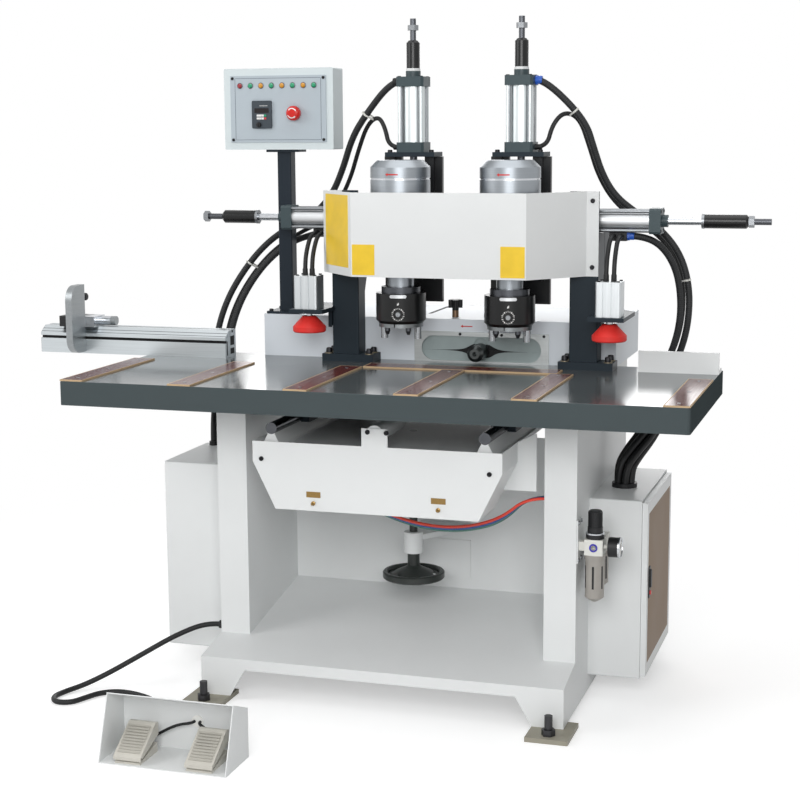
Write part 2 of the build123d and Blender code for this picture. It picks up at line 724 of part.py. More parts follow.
def make_cabinets():
    """The electrical cabinet on the right, open towards its door, and the closed one on the left."""
    bottom = RIGHT_CABINET_BOTTOM
    x = (base_right, cabinet_right)
    y = (RIGHT_CABINET_FRONT_Y, RIGHT_CABINET_FRONT_Y + RIGHT_CABINET_DEPTH)
    z = (bottom, bottom + RIGHT_CABINET_HEIGHT)
    right = block(x, y, z)
    right = fillet(right.edges().filter_by(Axis.X), CABINET_CORNER_RADIUS)
    right -= block(
        (x[0] + CABINET_SHEET, x[1] + 1),
        (y[0] + DOOR_MARGIN, y[1] - DOOR_MARGIN),
        (z[0] + DOOR_MARGIN, z[1] - DOOR_MARGIN),
    )
    left_x = (base_left - LEFT_CABINET_WIDTH, base_left)
    left_y = (LEFT_CABINET_FRONT_Y, LEFT_CABINET_FRONT_Y + LEFT_CABINET_DEPTH)
    left_z = (LEFT_CABINET_BOTTOM, LEFT_CABINET_BOTTOM + LEFT_CABINET_HEIGHT)
    left = block(left_x, left_y, left_z)
    left = fillet(left.edges().filter_by(Axis.X), CABINET_CORNER_RADIUS)
    left -= block(
        (left_x[0] + CABINET_SHEET, left_x[1]),
        (left_y[0] + CABINET_SHEET, left_y[1] - CABINET_SHEET),
        (left_z[0] + CABINET_SHEET, left_z[1] - CABINET_SHEET),
    )
    right += rod_z(CONDUIT_X, CONDUIT_Y, CONDUIT_RADIUS + COLLAR_WALL, (z[1], z[1] + COLLAR_RISE))
    for gland_x in LEFT_GLAND_X:
        left += rod_z(gland_x, LEFT_GLAND_Y, HOSE_RADIUS + COLLAR_WALL, (left_z[1], left_z[1] + COLLAR_RISE))
    thin_x, thin_y = THIN_GLAND
    left += rod_z(thin_x, thin_y, THIN_HOSE_RADIUS + COLLAR_WALL, (left_z[1], left_z[1] + COLLAR_RISE))
    node("side_cabinets", right, left)

    # The door is a shallow tray hung at the back edge on two hinge barrels.
    door_x = (cabinet_right + DOOR_GAP, cabinet_right + DOOR_GAP + DOOR_THICKNESS)
    door_y = (y[0] + DOOR_MARGIN / 2, door_hinge_y)
    door_z = (z[0] + DOOR_MARGIN / 2, z[1] - DOOR_MARGIN / 2)
    door = block(door_x, door_y, door_z)
    door -= block(
        (door_x[0], door_x[1] - DOOR_SHEET),
        (door_y[0] + DOOR_SHEET, door_y[1] - DOOR_SHEET),
        (door_z[0] + DOOR_SHEET, door_z[1] - DOOR_SHEET),
    )
    pin_x = door_x[0] + HINGE_RADIUS
    for level in (0.2, 0.8):
        centre = door_z[0] + level * (door_z[1] - door_z[0])
        door += rod_z(pin_x, door_hinge_y, HINGE_RADIUS, around(centre, HINGE_LENGTH))
    node("cabinet_door", door)


def make_table():
    """The table top, cast hollow underneath, and the wear strips screwed to it."""
    top = block((-table_half, table_half), (0, TABLE_DEPTH), (table_under, TABLE_HEIGHT))
    top = fillet(top.edges().filter_by(Axis.Z), TABLE_CORNER_RADIUS)
    top = chamfer(top.faces().sort_by(Axis.Z)[-1].edges(), TABLE_CHAMFER)
    bays = (
        (-table_half + TABLE_RIM, base_left - TABLE_RIM),
        (base_left + UPRIGHT_WIDTH + TABLE_RIM, base_right - UPRIGHT_WIDTH - TABLE_RIM),
        (base_right + TABLE_RIM, table_half - TABLE_RIM),
    )
    for bay in bays:
        top -= block(bay, (TABLE_RIM, TABLE_DEPTH - TABLE_RIM), (table_under, TABLE_HEIGHT - TABLE_PLATE))
    node("table_top", top)
    height = (TABLE_HEIGHT, TABLE_HEIGHT + STRIP_THICKNESS)
    strips = []
    for x in STRIP_CENTRES:
        strips.append(block(around(x, STRIP_WIDTH), (TABLE_CHAMFER, STRIP_LENGTH), height))
    cross_front = STRIP_LENGTH + STRIP_GAP
    cross_y = (cross_front, cross_front + CROSS_STRIP_WIDTH)
    strips.append(block(CROSS_STRIP_SPAN, cross_y, height))
    node("table_strips", *strips)


def make_columns():
    """Two columns on bolted flanges, each with a lip for the cover and an arm for a work clamp."""
    solids = []
    for side in (-1, 1):
        x = GANTRY_CENTRE_X + side * COLUMN_SPACING / 2
        foot_z = TABLE_HEIGHT + FLANGE_THICKNESS
        back = COLUMN_FRONT_Y + COLUMN_FOOT_DEPTH
        sweep_top = column_top - BEAM_HEIGHT
        outline = [
            (COLUMN_FRONT_Y, foot_z),
            (back, foot_z),
            (back, sweep_top - COLUMN_FOOT_DEPTH),
            (beam_front_y, sweep_top),
            (beam_front_y, column_top),
            (COLUMN_FRONT_Y, column_top),
        ]
        column = side_shape(outline, around(x, COLUMN_WIDTH))
        column = fillet(column.edges().filter_by(Axis.Z), COLUMN_EDGE_RADIUS)
        column += block(
            around(x, COLUMN_WIDTH),
            (COLUMN_FRONT_Y, COLUMN_FRONT_Y + COLUMN_LIP_THICKNESS),
            (column_top - COLUMN_FOOT_DEPTH, column_top + COLUMN_LIP_HEIGHT),
        )
        flange_y = (back - FLANGE_DEPTH, back)
        column += block(around(x + FLANGE_SHIFT_X, FLANGE_WIDTH), flange_y, (TABLE_HEIGHT, foot_z))
        column += clamp_arm(side, x + side * COLUMN_WIDTH / 2)
        solids.append(column)
    node("gantry_frame", make_beam(), *solids)


def clamp_arm(side, column_side):
    """The plate that carries a work clamp, with a web under it along the column's outer face."""
    centre = GANTRY_CENTRE_X + side * CLAMP_SPACING / 2
    inner = column_side - side * COLUMN_EDGE_RADIUS * 2
    outer = centre + side * CLAMP_PLATE_WIDTH / 2
    corner = CLAMP_PLATE_WIDTH / 3
    outline = [
        (inner, CLAMP_PLATE_FRONT_Y),
        (outer, CLAMP_PLATE_FRONT_Y),
        (outer, CLAMP_ARM_BACK_Y - corner),
        (outer - side * corner, CLAMP_ARM_BACK_Y),
        (column_side, CLAMP_ARM_BACK_Y),
        (column_side, COLUMN_FRONT_Y),
        (inner, COLUMN_FRONT_Y),
    ]
    arm = plan_shape(outline, (clamp_plate_bottom, clamp_plate_top))
    web_y = CLAMP_Y + CLAMP_BODY_DEPTH
    web = [
        (web_y, clamp_plate_bottom),
        (CLAMP_ARM_BACK_Y - corner, clamp_plate_bottom),
        (web_y, clamp_plate_bottom - CLAMP_WEB_DEPTH),
    ]
    web_x = sorted((column_side + side * CLAMP_WEB_THICKNESS, column_side))
    arm += side_shape(web, web_x)
    arm -= rod_z(centre, CLAMP_Y, CLAMP_ROD_HOLE, (clamp_plate_bottom, clamp_plate_top))
    return arm


def make_beam():
    """The cross beam behind the columns with the two rails that the carriages run on."""
    half = (COLUMN_SPACING + COLUMN_WIDTH) / 2
    x = (GANTRY_CENTRE_X - half, GANTRY_CENTRE_X + half)
    z = (column_top - BEAM_HEIGHT, column_top)
    beam = block(x, (beam_front_y, beam_front_y + BEAM_DEPTH), z)
    rail_x = around(GANTRY_CENTRE_X, COLUMN_SPACING - COLUMN_WIDTH - 2 * COLUMN_EDGE_RADIUS)
    for rail_z in rail_heights():
        beam += block(rail_x, (beam_front_y - RAIL_HEIGHT, beam_front_y), around(rail_z, RAIL_WIDTH))
    return beam


def rail_heights():
    """Heights of the two beam rails."""
    middle = column_top - BEAM_HEIGHT / 2
    return (middle - RAIL_SPACING / 2, middle + RAIL_SPACING / 2)


def make_cover():
    """The folded sheet cover in front of the heads, screwed to the column lips."""
    left_x, right_x = COVER_FRONT_SPAN
    lip_back = COLUMN_FRONT_Y
    lip_front = lip_back - COVER_SHEET
    left_end = left_x - COVER_LEFT_WING
    right_end = right_x + COVER_RIGHT_WING
    lip_end = GANTRY_CENTRE_X + (COLUMN_SPACING + COLUMN_WIDTH) / 2
    t = COVER_SHEET
    outline = [
        (left_x, COVER_FRONT_Y),
        (right_x, COVER_FRONT_Y),
        (right_end, COVER_BACK_Y),
        (lip_end - COVER_LIP, lip_front),
        (lip_end, lip_front),
        (lip_end, lip_back),
        (lip_end - COVER_LIP - t, lip_back),
        (right_end - 1.5 * t, COVER_BACK_Y + t),
        (right_x - t, COVER_FRONT_Y + t),
        (left_x + t, COVER_FRONT_Y + t),
        (left_end + 1.5 * t, COVER_BACK_Y),
        (left_end + 1.5 * t, lip_front),
        (left_end + COVER_LIP + 2 * t + COVER_STEP, lip_front),
        (left_end + COVER_LIP + 2 * t + COVER_STEP, lip_back),
        (left_end, lip_back),
        (left_end, COVER_BACK_Y - t),
    ]
    bottom = TABLE_HEIGHT + COVER_CLEARANCE
    cover = plan_shape(outline, (bottom, bottom + COVER_HEIGHT))
    hole_x = lip_end - COVER_LIP / 2
    for hole_z in (bottom + COVER_HOLE_INSET, bottom + COVER_HEIGHT - COVER_HOLE_INSET):
        cover -= rod_y(hole_x, hole_z, COVER_HOLE_RADIUS, (lip_front - 1, lip_back + 1))
    node("front_cover", cover)


def gear(teeth, bore):
    """A straight-flanked spur gear standing on z = 0 with one tooth centred on +X."""
    pitch = teeth * GEAR_MODULE / 2
    tip = pitch + GEAR_MODULE
    root = pitch - 1.3 * GEAR_MODULE
    step = 2 * pi / teeth
    points = []
    for tooth in range(teeth):
        for radius, share in ((root, -0.33), (tip, -0.1), (tip, 0.1), (root, 0.33)):
            angle = (tooth + share) * step
            points.append((radius * cos(angle), radius * sin(angle)))
    outline = make_face(Polyline(*points, close=True))
    if bore:
        outline -= Circle(bore)
    return extrude(outline, GEAR_WIDTH)


def air_cylinder(cap, cap_length, barrel_radius, barrel_length, gland_radius):
    """A tie-rod cylinder along Z from its lower cap, hollow for its piston, with a gland on top."""
    top = 2 * cap_length + barrel_length
    body = Pos(0, 0, cap_length / 2) * Box(cap, cap, cap_length)
    body += Pos(0, 0, top - cap_length / 2) * Box(cap, cap, cap_length)
    body = chamfer(body.edges().filter_by(Axis.Z), cap / 12)
    body += rod_z(0, 0, barrel_radius, (cap_length, top - cap_length))
    corner = cap / 2 - TIE_ROD_INSET
    for x in (-corner, corner):
        for y in (-corner, corner):
            body += rod_z(x, y, TIE_ROD_RADIUS, (cap_length, top - cap_length))
    body += rod_z(0, 0, gland_radius, (top, top + GLAND_LENGTH))
    body -= rod_z(0, 0, barrel_radius - BARREL_WALL, (cap_length, top - cap_length))
    body -= rod_z(0, 0, ROD_RADIUS + SHAFT_GAP, (-GLAND_LENGTH, top + 2 * GLAND_LENGTH))
    return body


def stop_rod(length, piston_at, piston_radius, sleeve_at, sleeve_length, nut_place):
    """A through rod along Z with its piston, stop sleeve, thin tail and lock nut."""
    sleeve_top = sleeve_at + STOP_RING_LENGTH + sleeve_length
    rod = rod_z(0, 0, ROD_RADIUS, (0, length))
    rod += rod_z(0, 0, piston_radius, (piston_at, piston_at + PISTON_LENGTH))
    rod += rod_z(0, 0, STOP_RING_RADIUS, (sleeve_at, sleeve_at + STOP_RING_LENGTH))
    sleeve = rod_z(0, 0, STOP_SLEEVE_RADIUS, (sleeve_at + STOP_RING_LENGTH, sleeve_top))
    rod += chamfer(sleeve.edges().sort_by(Axis.Z)[-1:], STOP_SLEEVE_CHAMFER)
    rod += rod_z(0, 0, TAIL_RADIUS, (length, sleeve_top + TAIL_LENGTH))
    rod += Pos(0, 0, sleeve_top + nut_place) * hexagon(TAIL_NUT_ACROSS, TAIL_NUT_LENGTH)
    return rod


def make_carriage(name, side):
    """The black carriage plate that runs along the beam and carries one head and its feed cylinder."""
    x = head_x(side)
    plate_y = (carriage_front_y, carriage_back_y)
    plate = block(around(x, CARRIAGE_WIDTH), plate_y, (carriage_bottom, carriage_top))
    slot = (carriage_top - CARRIAGE_SLOT_DEPTH, carriage_top)
    plate -= block(around(x, CARRIAGE_SLOT_WIDTH), plate_y, slot)
    for offset in (-FRONT_RAIL_SPACING / 2, FRONT_RAIL_SPACING / 2):
        rail_z = (carriage_top - FRONT_RAIL_LENGTH, carriage_top)
        rail_y = (carriage_front_y - RAIL_HEIGHT, carriage_front_y)
        plate += block(around(x + offset, RAIL_WIDTH), rail_y, rail_z)
    for rail_z in rail_heights():
        for block_x in (x - CARRIAGE_WIDTH / 4, x + CARRIAGE_WIDTH / 4):
            runner = block(
                around(block_x, RAIL_BLOCK_LENGTH),
                (carriage_back_y, beam_front_y - SLIDE_GAP),
                around(rail_z, RAIL_BLOCK_WIDTH),
            )
            runner -= block(
                around(block_x, RAIL_BLOCK_LENGTH),
                (beam_front_y - RAIL_HEIGHT - SLIDE_GAP, beam_front_y),
                around(rail_z, RAIL_WIDTH + 2 * SLIDE_GAP),
            )
            plate += runner
    shelf_front = HEAD_AXIS_Y + MOTOR_RADIUS + TOP_PLATE_FRONT_GAP
    shelf = block(
        around(x, TOP_PLATE_WIDTH),
        (shelf_front, shelf_front + TOP_PLATE_DEPTH),
        (carriage_top, carriage_top + TOP_PLATE_THICKNESS),
    )
    shelf -= rod_z(x, feed_axis_y, ROD_RADIUS + SHAFT_GAP, (carriage_top, feed_bottom))
    plate += shelf
    edge = x + side * CARRIAGE_WIDTH / 2
    plate += block(
        sorted((edge, edge + side * SHIFT_LUG_LENGTH)),
        around(shift_axis_y, SHIFT_LUG_SIZE),
        around(shift_axis_z, SHIFT_LUG_SIZE),
    )
    node(name, plate)


def head_x(side):
    """Middle of the left or right head."""
    return GANTRY_CENTRE_X + side * HEAD_SPACING / 2


def make_feed(cylinder_name, rod_name, side):
    """One vertical feed cylinder and its through rod, resting with the stop sleeve on the gland."""
    place = Pos(head_x(side), feed_axis_y, feed_bottom)
    cylinder = air_cylinder(
        FEED_CAP, FEED_CAP_LENGTH, FEED_BARREL_RADIUS, FEED_BARREL_LENGTH, FEED_GLAND_RADIUS
    )
    node(cylinder_name, place * cylinder)
    foot = slide_top
    sleeve_at = feed_top - foot
    length = sleeve_at + STOP_RING_LENGTH + FEED_SLEEVE_LENGTH
    piston_at = feed_bottom + FEED_CAP_LENGTH + PISTON_CLEARANCE - foot
    bore = FEED_BARREL_RADIUS - BARREL_WALL - SHAFT_GAP
    rod = stop_rod(length, piston_at, bore, sleeve_at, FEED_SLEEVE_LENGTH, FEED_NUT_PLACE)
    node(rod_name, Pos(head_x(side), feed_axis_y, foot) * rod)


def make_slide(name, side):
    """The head's vertical slide: a plate on two rails, a cradle for the motor and the rod's lug."""
    x = head_x(side)
    slide = block(around(x, SLIDE_WIDTH), (slide_front_y, slide_back_y), (slide_bottom, slide_top))
    cradle_bottom = slide_bottom + (SLIDE_HEIGHT - CRADLE_HEIGHT) / 2
    cradle = (cradle_bottom, cradle_bottom + CRADLE_HEIGHT)
    slide += block(around(x, CRADLE_WIDTH), (slide_front_y - CRADLE_REACH, slide_front_y), cradle)
    slide -= rod_z(x, HEAD_AXIS_Y, MOTOR_BODY_RADIUS + CRADLE_GAP, cradle)
    for offset in (-FRONT_RAIL_SPACING / 2, FRONT_RAIL_SPACING / 2):
        for runner_z in (slide_bottom + RAIL_BLOCK_LENGTH / 2, slide_top - RAIL_BLOCK_LENGTH / 2):
            runner = block(
                around(x + offset, RAIL_BLOCK_WIDTH),
                (slide_back_y, carriage_front_y - SLIDE_GAP),
                around(runner_z, RAIL_BLOCK_LENGTH),
            )
            runner -= block(
                around(x + offset, RAIL_WIDTH + 2 * SLIDE_GAP),
                (carriage_front_y - RAIL_HEIGHT - SLIDE_GAP, carriage_front_y),
                around(runner_z, RAIL_BLOCK_LENGTH),
            )
            slide += runner
    lug_y = (slide_back_y, feed_axis_y + ROD_LUG_WIDTH / 2)
    slide += block(around(x, ROD_LUG_WIDTH), lug_y, (slide_top - ROD_LUG_HEIGHT, slide_top))
    node(name, slide)


def make_motor(name, side):
    """The head motor: turned end cap with a groove, plain body and the neck that holds the casing."""
    top = MOTOR_HEIGHT
    cap = top - MOTOR_CAP_HEIGHT
    groove = top - MOTOR_CAP_HEIGHT / 2
    profile = [
        (DRIVE_SHAFT_RADIUS + SHAFT_GAP, collar_top - motor_bottom),
        (NECK_RADIUS, collar_top - motor_bottom),
        (NECK_RADIUS, 0),
        (MOTOR_BODY_RADIUS, 0),
        (MOTOR_BODY_RADIUS, cap),
        (MOTOR_RADIUS, cap),
        (MOTOR_RADIUS, groove - MOTOR_GROOVE_WIDTH / 2),
        (MOTOR_RADIUS - MOTOR_GROOVE_DEPTH, groove - MOTOR_GROOVE_WIDTH / 2),
        (MOTOR_RADIUS - MOTOR_GROOVE_DEPTH, groove + MOTOR_GROOVE_WIDTH / 2),
        (MOTOR_RADIUS, groove + MOTOR_GROOVE_WIDTH / 2),
        (MOTOR_RADIUS, top - MOTOR_CAP_CHAMFER),
        (MOTOR_RADIUS - MOTOR_CAP_CHAMFER, top),
        (0, top),
        (0, GEAR_WIDTH),
        (DRIVE_SHAFT_RADIUS + SHAFT_GAP, GEAR_WIDTH),
    ]
    node(name, Pos(head_x(side), HEAD_AXIS_Y, motor_bottom) * turned(*profile))


def make_casing(name, side):
    """The round gear casing with its split arm plate and the arms' two domed lock nuts."""
    r = CASING_RADIUS
    inner = r - CASING_WALL
    h = CASING_HEIGHT
    casing = turned(
        (0, -ARM_PLATE_THICKNESS),
        (ARM_PLATE_RADIUS, -ARM_PLATE_THICKNESS),
        (ARM_PLATE_RADIUS, 0),
        (r - CASING_CHAMFER, 0),
        (r, CASING_CHAMFER),
        (r, h),
        (COLLAR_RADIUS, h),
        (COLLAR_RADIUS, h + COLLAR_HEIGHT),
        (0, h + COLLAR_HEIGHT),
    )
    casing -= rod_z(0, 0, inner, (CASING_CHAMFER + CASING_WALL, h - CASING_WALL))
    casing -= rod_z(0, 0, DRIVE_SHAFT_RADIUS + SHAFT_GAP, (0, h + COLLAR_HEIGHT))
    casing -= block(around(0, ARM_SPLIT), (-r, -DRIVE_SHAFT_RADIUS), (-ARM_PLATE_THICKNESS, 0))
    for way in (-1, 1):
        bore = (-ARM_PLATE_THICKNESS, CASING_CHAMFER + CASING_WALL)
        casing -= rod_z(way * spindle_offset, 0, SPINDLE_SHAFT_RADIUS + SHAFT_GAP, bore)
        nut = turned(
            (0, 0),
            (LOCK_NUT_RADIUS, 0),
            (LOCK_NUT_RADIUS, -LOCK_NUT_HEIGHT / 2),
            (LOCK_NUT_RADIUS / 2, -LOCK_NUT_HEIGHT),
            (0, -LOCK_NUT_HEIGHT),
        )
        casing += Pos(way * LOCK_NUT_OFFSET, -LOCK_NUT_OFFSET, -ARM_PLATE_THICKNESS) * nut
    node(name, Pos(head_x(side), HEAD_AXIS_Y, casing_bottom) * casing)


def make_gears(drive_name, spindle_names, side):
    """The motor's drive gear and the two drill spindles that it turns."""
    x = head_x(side)
    drive = Pos(0, 0, gear_bottom) * gear(DRIVE_TEETH, 0)
    shaft_top = motor_bottom + GEAR_WIDTH - SHAFT_GAP
    drive += rod_z(0, 0, DRIVE_SHAFT_RADIUS, (gear_bottom + GEAR_WIDTH, shaft_top))
    node(drive_name, Pos(x, HEAD_AXIS_Y, 0) * drive)
    chuck_bottom = arm_bottom - CHUCK_LENGTH
    for name, way in zip(spindle_names, (-1, 1)):
        pinion = Rot(0, 0, 180 / SPINDLE_TEETH) * gear(SPINDLE_TEETH, 0)
        spindle = Pos(0, 0, gear_bottom) * pinion
        spindle += rod_z(0, 0, SPINDLE_SHAFT_RADIUS, (arm_bottom - SLIDE_GAP, gear_bottom))
        chuck_top = arm_bottom - SLIDE_GAP
        spindle += rod_z(0, 0, CHUCK_RADIUS, (chuck_bottom, chuck_top))
        spindle -= rod_z(0, 0, CHUCK_BORE_RADIUS, (chuck_bottom, chuck_bottom + CHUCK_BORE_DEPTH))
        node(name, Pos(x + way * spindle_offset, HEAD_AXIS_Y, 0) * spindle)


def make_shift(rod_name, side, shift, sleeve_length, spare, nut_place):
    """One horizontal cylinder on its column top, and the through rod that shifts the carriage."""
    front = GANTRY_CENTRE_X + side * ((COLUMN_SPACING - COLUMN_WIDTH) / 2 + SHIFT_FRONT_INSET)
    turn = Rot(0, 90 * side, 0)
    cylinder = air_cylinder(
        SHIFT_CAP, SHIFT_CAP_LENGTH, SHIFT_BARREL_RADIUS, SHIFT_BARREL_LENGTH, SHIFT_GLAND_RADIUS
    )
    cylinder = Pos(front, shift_axis_y, shift_axis_z) * turn * cylinder
    clamp_x = GANTRY_CENTRE_X + side * CLAMP_SPACING / 2
    manifold_top = shift_axis_z - SHIFT_BARREL_RADIUS + BARREL_WALL / 2
    cylinder += block(
        around(clamp_x, MANIFOLD_WIDTH),
        around(shift_axis_y, MANIFOLD_DEPTH),
        (manifold_top - MANIFOLD_HEIGHT, manifold_top),
    )
    lug = head_x(side) + side * (CARRIAGE_WIDTH / 2 + SHIFT_LUG_LENGTH)
    reach = abs(front - lug)
    gland = reach + 2 * SHIFT_CAP_LENGTH + SHIFT_BARREL_LENGTH + GLAND_LENGTH
    sleeve_at = gland + shift + spare
    piston_end = reach + SHIFT_CAP_LENGTH + SHIFT_BARREL_LENGTH - PISTON_CLEARANCE
    bore = SHIFT_BARREL_RADIUS - BARREL_WALL - SHAFT_GAP
    length = sleeve_at + STOP_RING_LENGTH + sleeve_length
    rod = stop_rod(length, piston_end - PISTON_LENGTH, bore, sleeve_at, sleeve_length, nut_place)
    node(rod_name, Pos(lug, shift_axis_y, shift_axis_z) * turn * rod)
    return cylinder


def make_clamp(pad_name, side):
    """One work clamp: a compact cylinder on its arm and the red pad that it presses down."""
    x = GANTRY_CENTRE_X + side * CLAMP_SPACING / 2
    z = (clamp_plate_top, clamp_plate_top + CLAMP_BODY_HEIGHT)
    body = block(around(x, CLAMP_BODY_WIDTH), around(CLAMP_Y, CLAMP_BODY_DEPTH), z)
    body = fillet(body.edges().filter_by(Axis.Z), CLAMP_BODY_RADIUS)
    for offset in (-CLAMP_BODY_WIDTH / 6, CLAMP_BODY_WIDTH / 6):
        for face in (-1, 1):
            groove_y = CLAMP_Y + face * CLAMP_BODY_DEPTH / 2
            body -= block(around(x + offset, CLAMP_GROOVE * 2), around(groove_y, CLAMP_GROOVE * 2), z)
    pad_bottom = TABLE_HEIGHT + PAD_CLEARANCE
    rod_top = z[1] - CLAMP_BODY_RADIUS * 2
    bore = (z[0], rod_top + SLIDE_GAP)
    body -= rod_z(x, CLAMP_Y, CLAMP_ROD_RADIUS + SHAFT_GAP, bore)
    pad = turned(
        (0, 0),
        (PAD_RADIUS - CLAMP_GROOVE, 0),
        (PAD_RADIUS, CLAMP_GROOVE),
        (PAD_RADIUS, PAD_RIM_HEIGHT - CLAMP_GROOVE),
        (PAD_RADIUS - CLAMP_GROOVE, PAD_RIM_HEIGHT),
        (PAD_NECK_RADIUS, PAD_HEIGHT),
        (CLAMP_ROD_RADIUS, PAD_HEIGHT),
        (CLAMP_ROD_RADIUS, rod_top - pad_bottom),
        (0, rod_top - pad_bottom),
    )
    node(pad_name, Pos(x, CLAMP_Y, pad_bottom) * pad)
    return body


def make_control():
    """The control box on its post, with panel, timer, lamps and a mushroom stop button."""
    left = BOX_CENTRE_X - BOX_WIDTH / 2
    x = (left, left + BOX_WIDTH)
    y = (BOX_FRONT_Y, BOX_FRONT_Y + BOX_DEPTH)
    z = (BOX_BOTTOM, BOX_BOTTOM + BOX_HEIGHT)
    box = block(x, y, z)
    box = fillet(box.edges().filter_by(Axis.Y), BOX_EDGE_RADIUS)
    panel_y = (BOX_FRONT_Y - PANEL_THICKNESS, BOX_FRONT_Y)
    button_x = BOX_CENTRE_X + STOP_BUTTON_PLACE[0]
    button_z = BOX_BOTTOM + STOP_BUTTON_PLACE[1]
    stem = STOP_STEM_RADIUS
    box -= block(
        (x[0] + 1.5 * PANEL_MARGIN, x[1] - 1.5 * PANEL_MARGIN),
        (BOX_FRONT_Y, y[1] - CABINET_SHEET),
        (z[0] + 1.5 * PANEL_MARGIN, z[1] - 1.5 * PANEL_MARGIN),
    )
    node("control_box", box)
    panel = block(
        (x[0] + PANEL_MARGIN, x[1] - PANEL_MARGIN),
        panel_y,
        (z[0] + PANEL_MARGIN, z[1] - PANEL_MARGIN),
    )
    timer_x = around(BOX_CENTRE_X + TIMER_PLACE[0], TIMER_WIDTH)
    timer_z = around(BOX_BOTTOM + TIMER_PLACE[1], TIMER_HEIGHT)
    timer = block(timer_x, (panel_y[0] - TIMER_DEPTH, panel_y[0]), timer_z)
    timer = fillet(timer.edges().filter_by(Axis.Y), BOX_EDGE_RADIUS)
    panel -= rod_y(button_x, button_z, stem + SHAFT_GAP, panel_y)
    node("control_panel", panel, timer)
    lamps = []
    for i in range(LAMP_COUNT):
        lamp_x = BOX_CENTRE_X + LAMP_PLACE[0] + (i - (LAMP_COUNT - 1) / 2) * LAMP_PITCH
        dome = turned(
            (0, 0),
            (LAMP_RADIUS, 0),
            (LAMP_RADIUS, LAMP_DEPTH / 2),
            (LAMP_RADIUS / 2, LAMP_DEPTH),
            (0, LAMP_DEPTH),
        )
        lamps.append(Pos(lamp_x, panel_y[0], BOX_BOTTOM + LAMP_PLACE[1]) * Rot(90, 0, 0) * dome)
    node("indicator_lamps", *lamps)
    rise = STOP_BUTTON_TRAVEL + SLIDE_GAP
    button = turned(
        (0, SLIDE_GAP - PANEL_THICKNESS),
        (stem, SLIDE_GAP - PANEL_THICKNESS),
        (stem, rise),
        (STOP_BUTTON_RADIUS, rise),
        (STOP_BUTTON_RADIUS, STOP_BUTTON_DEPTH / 2 + rise / 2),
        (STOP_BUTTON_RADIUS * 0.8, STOP_BUTTON_DEPTH - STOP_BUTTON_TRAVEL / 2),
        (STOP_BUTTON_RADIUS / 2, STOP_BUTTON_DEPTH),
        (0, STOP_BUTTON_DEPTH),
    )
    node("emergency_stop", Pos(button_x, panel_y[0], button_z) * Rot(90, 0, 0) * button)

    plate_z = (housing_top, housing_top + POST_PLATE_THICKNESS)
    head_z = (BOX_BOTTOM - POST_PLATE_THICKNESS, BOX_BOTTOM)
    post = block(around(POST_X, POST_SIZE), around(POST_Y, POST_SIZE), (plate_z[1], head_z[0]))
    post = fillet(post.edges().filter_by(Axis.Z), BOX_EDGE_RADIUS)
    post += block(around(POST_X, POST_PLATE), around(POST_Y, POST_PLATE), plate_z)
    post += block(around(POST_X, POST_PLATE), around(POST_Y, BOX_DEPTH - PANEL_MARGIN), head_z)
    node("control_post", post)


def stadium(width, height):
    """A slot-ended face in the XZ plane about its centre."""
    return Plane.XZ * SlotOverall(width, height)


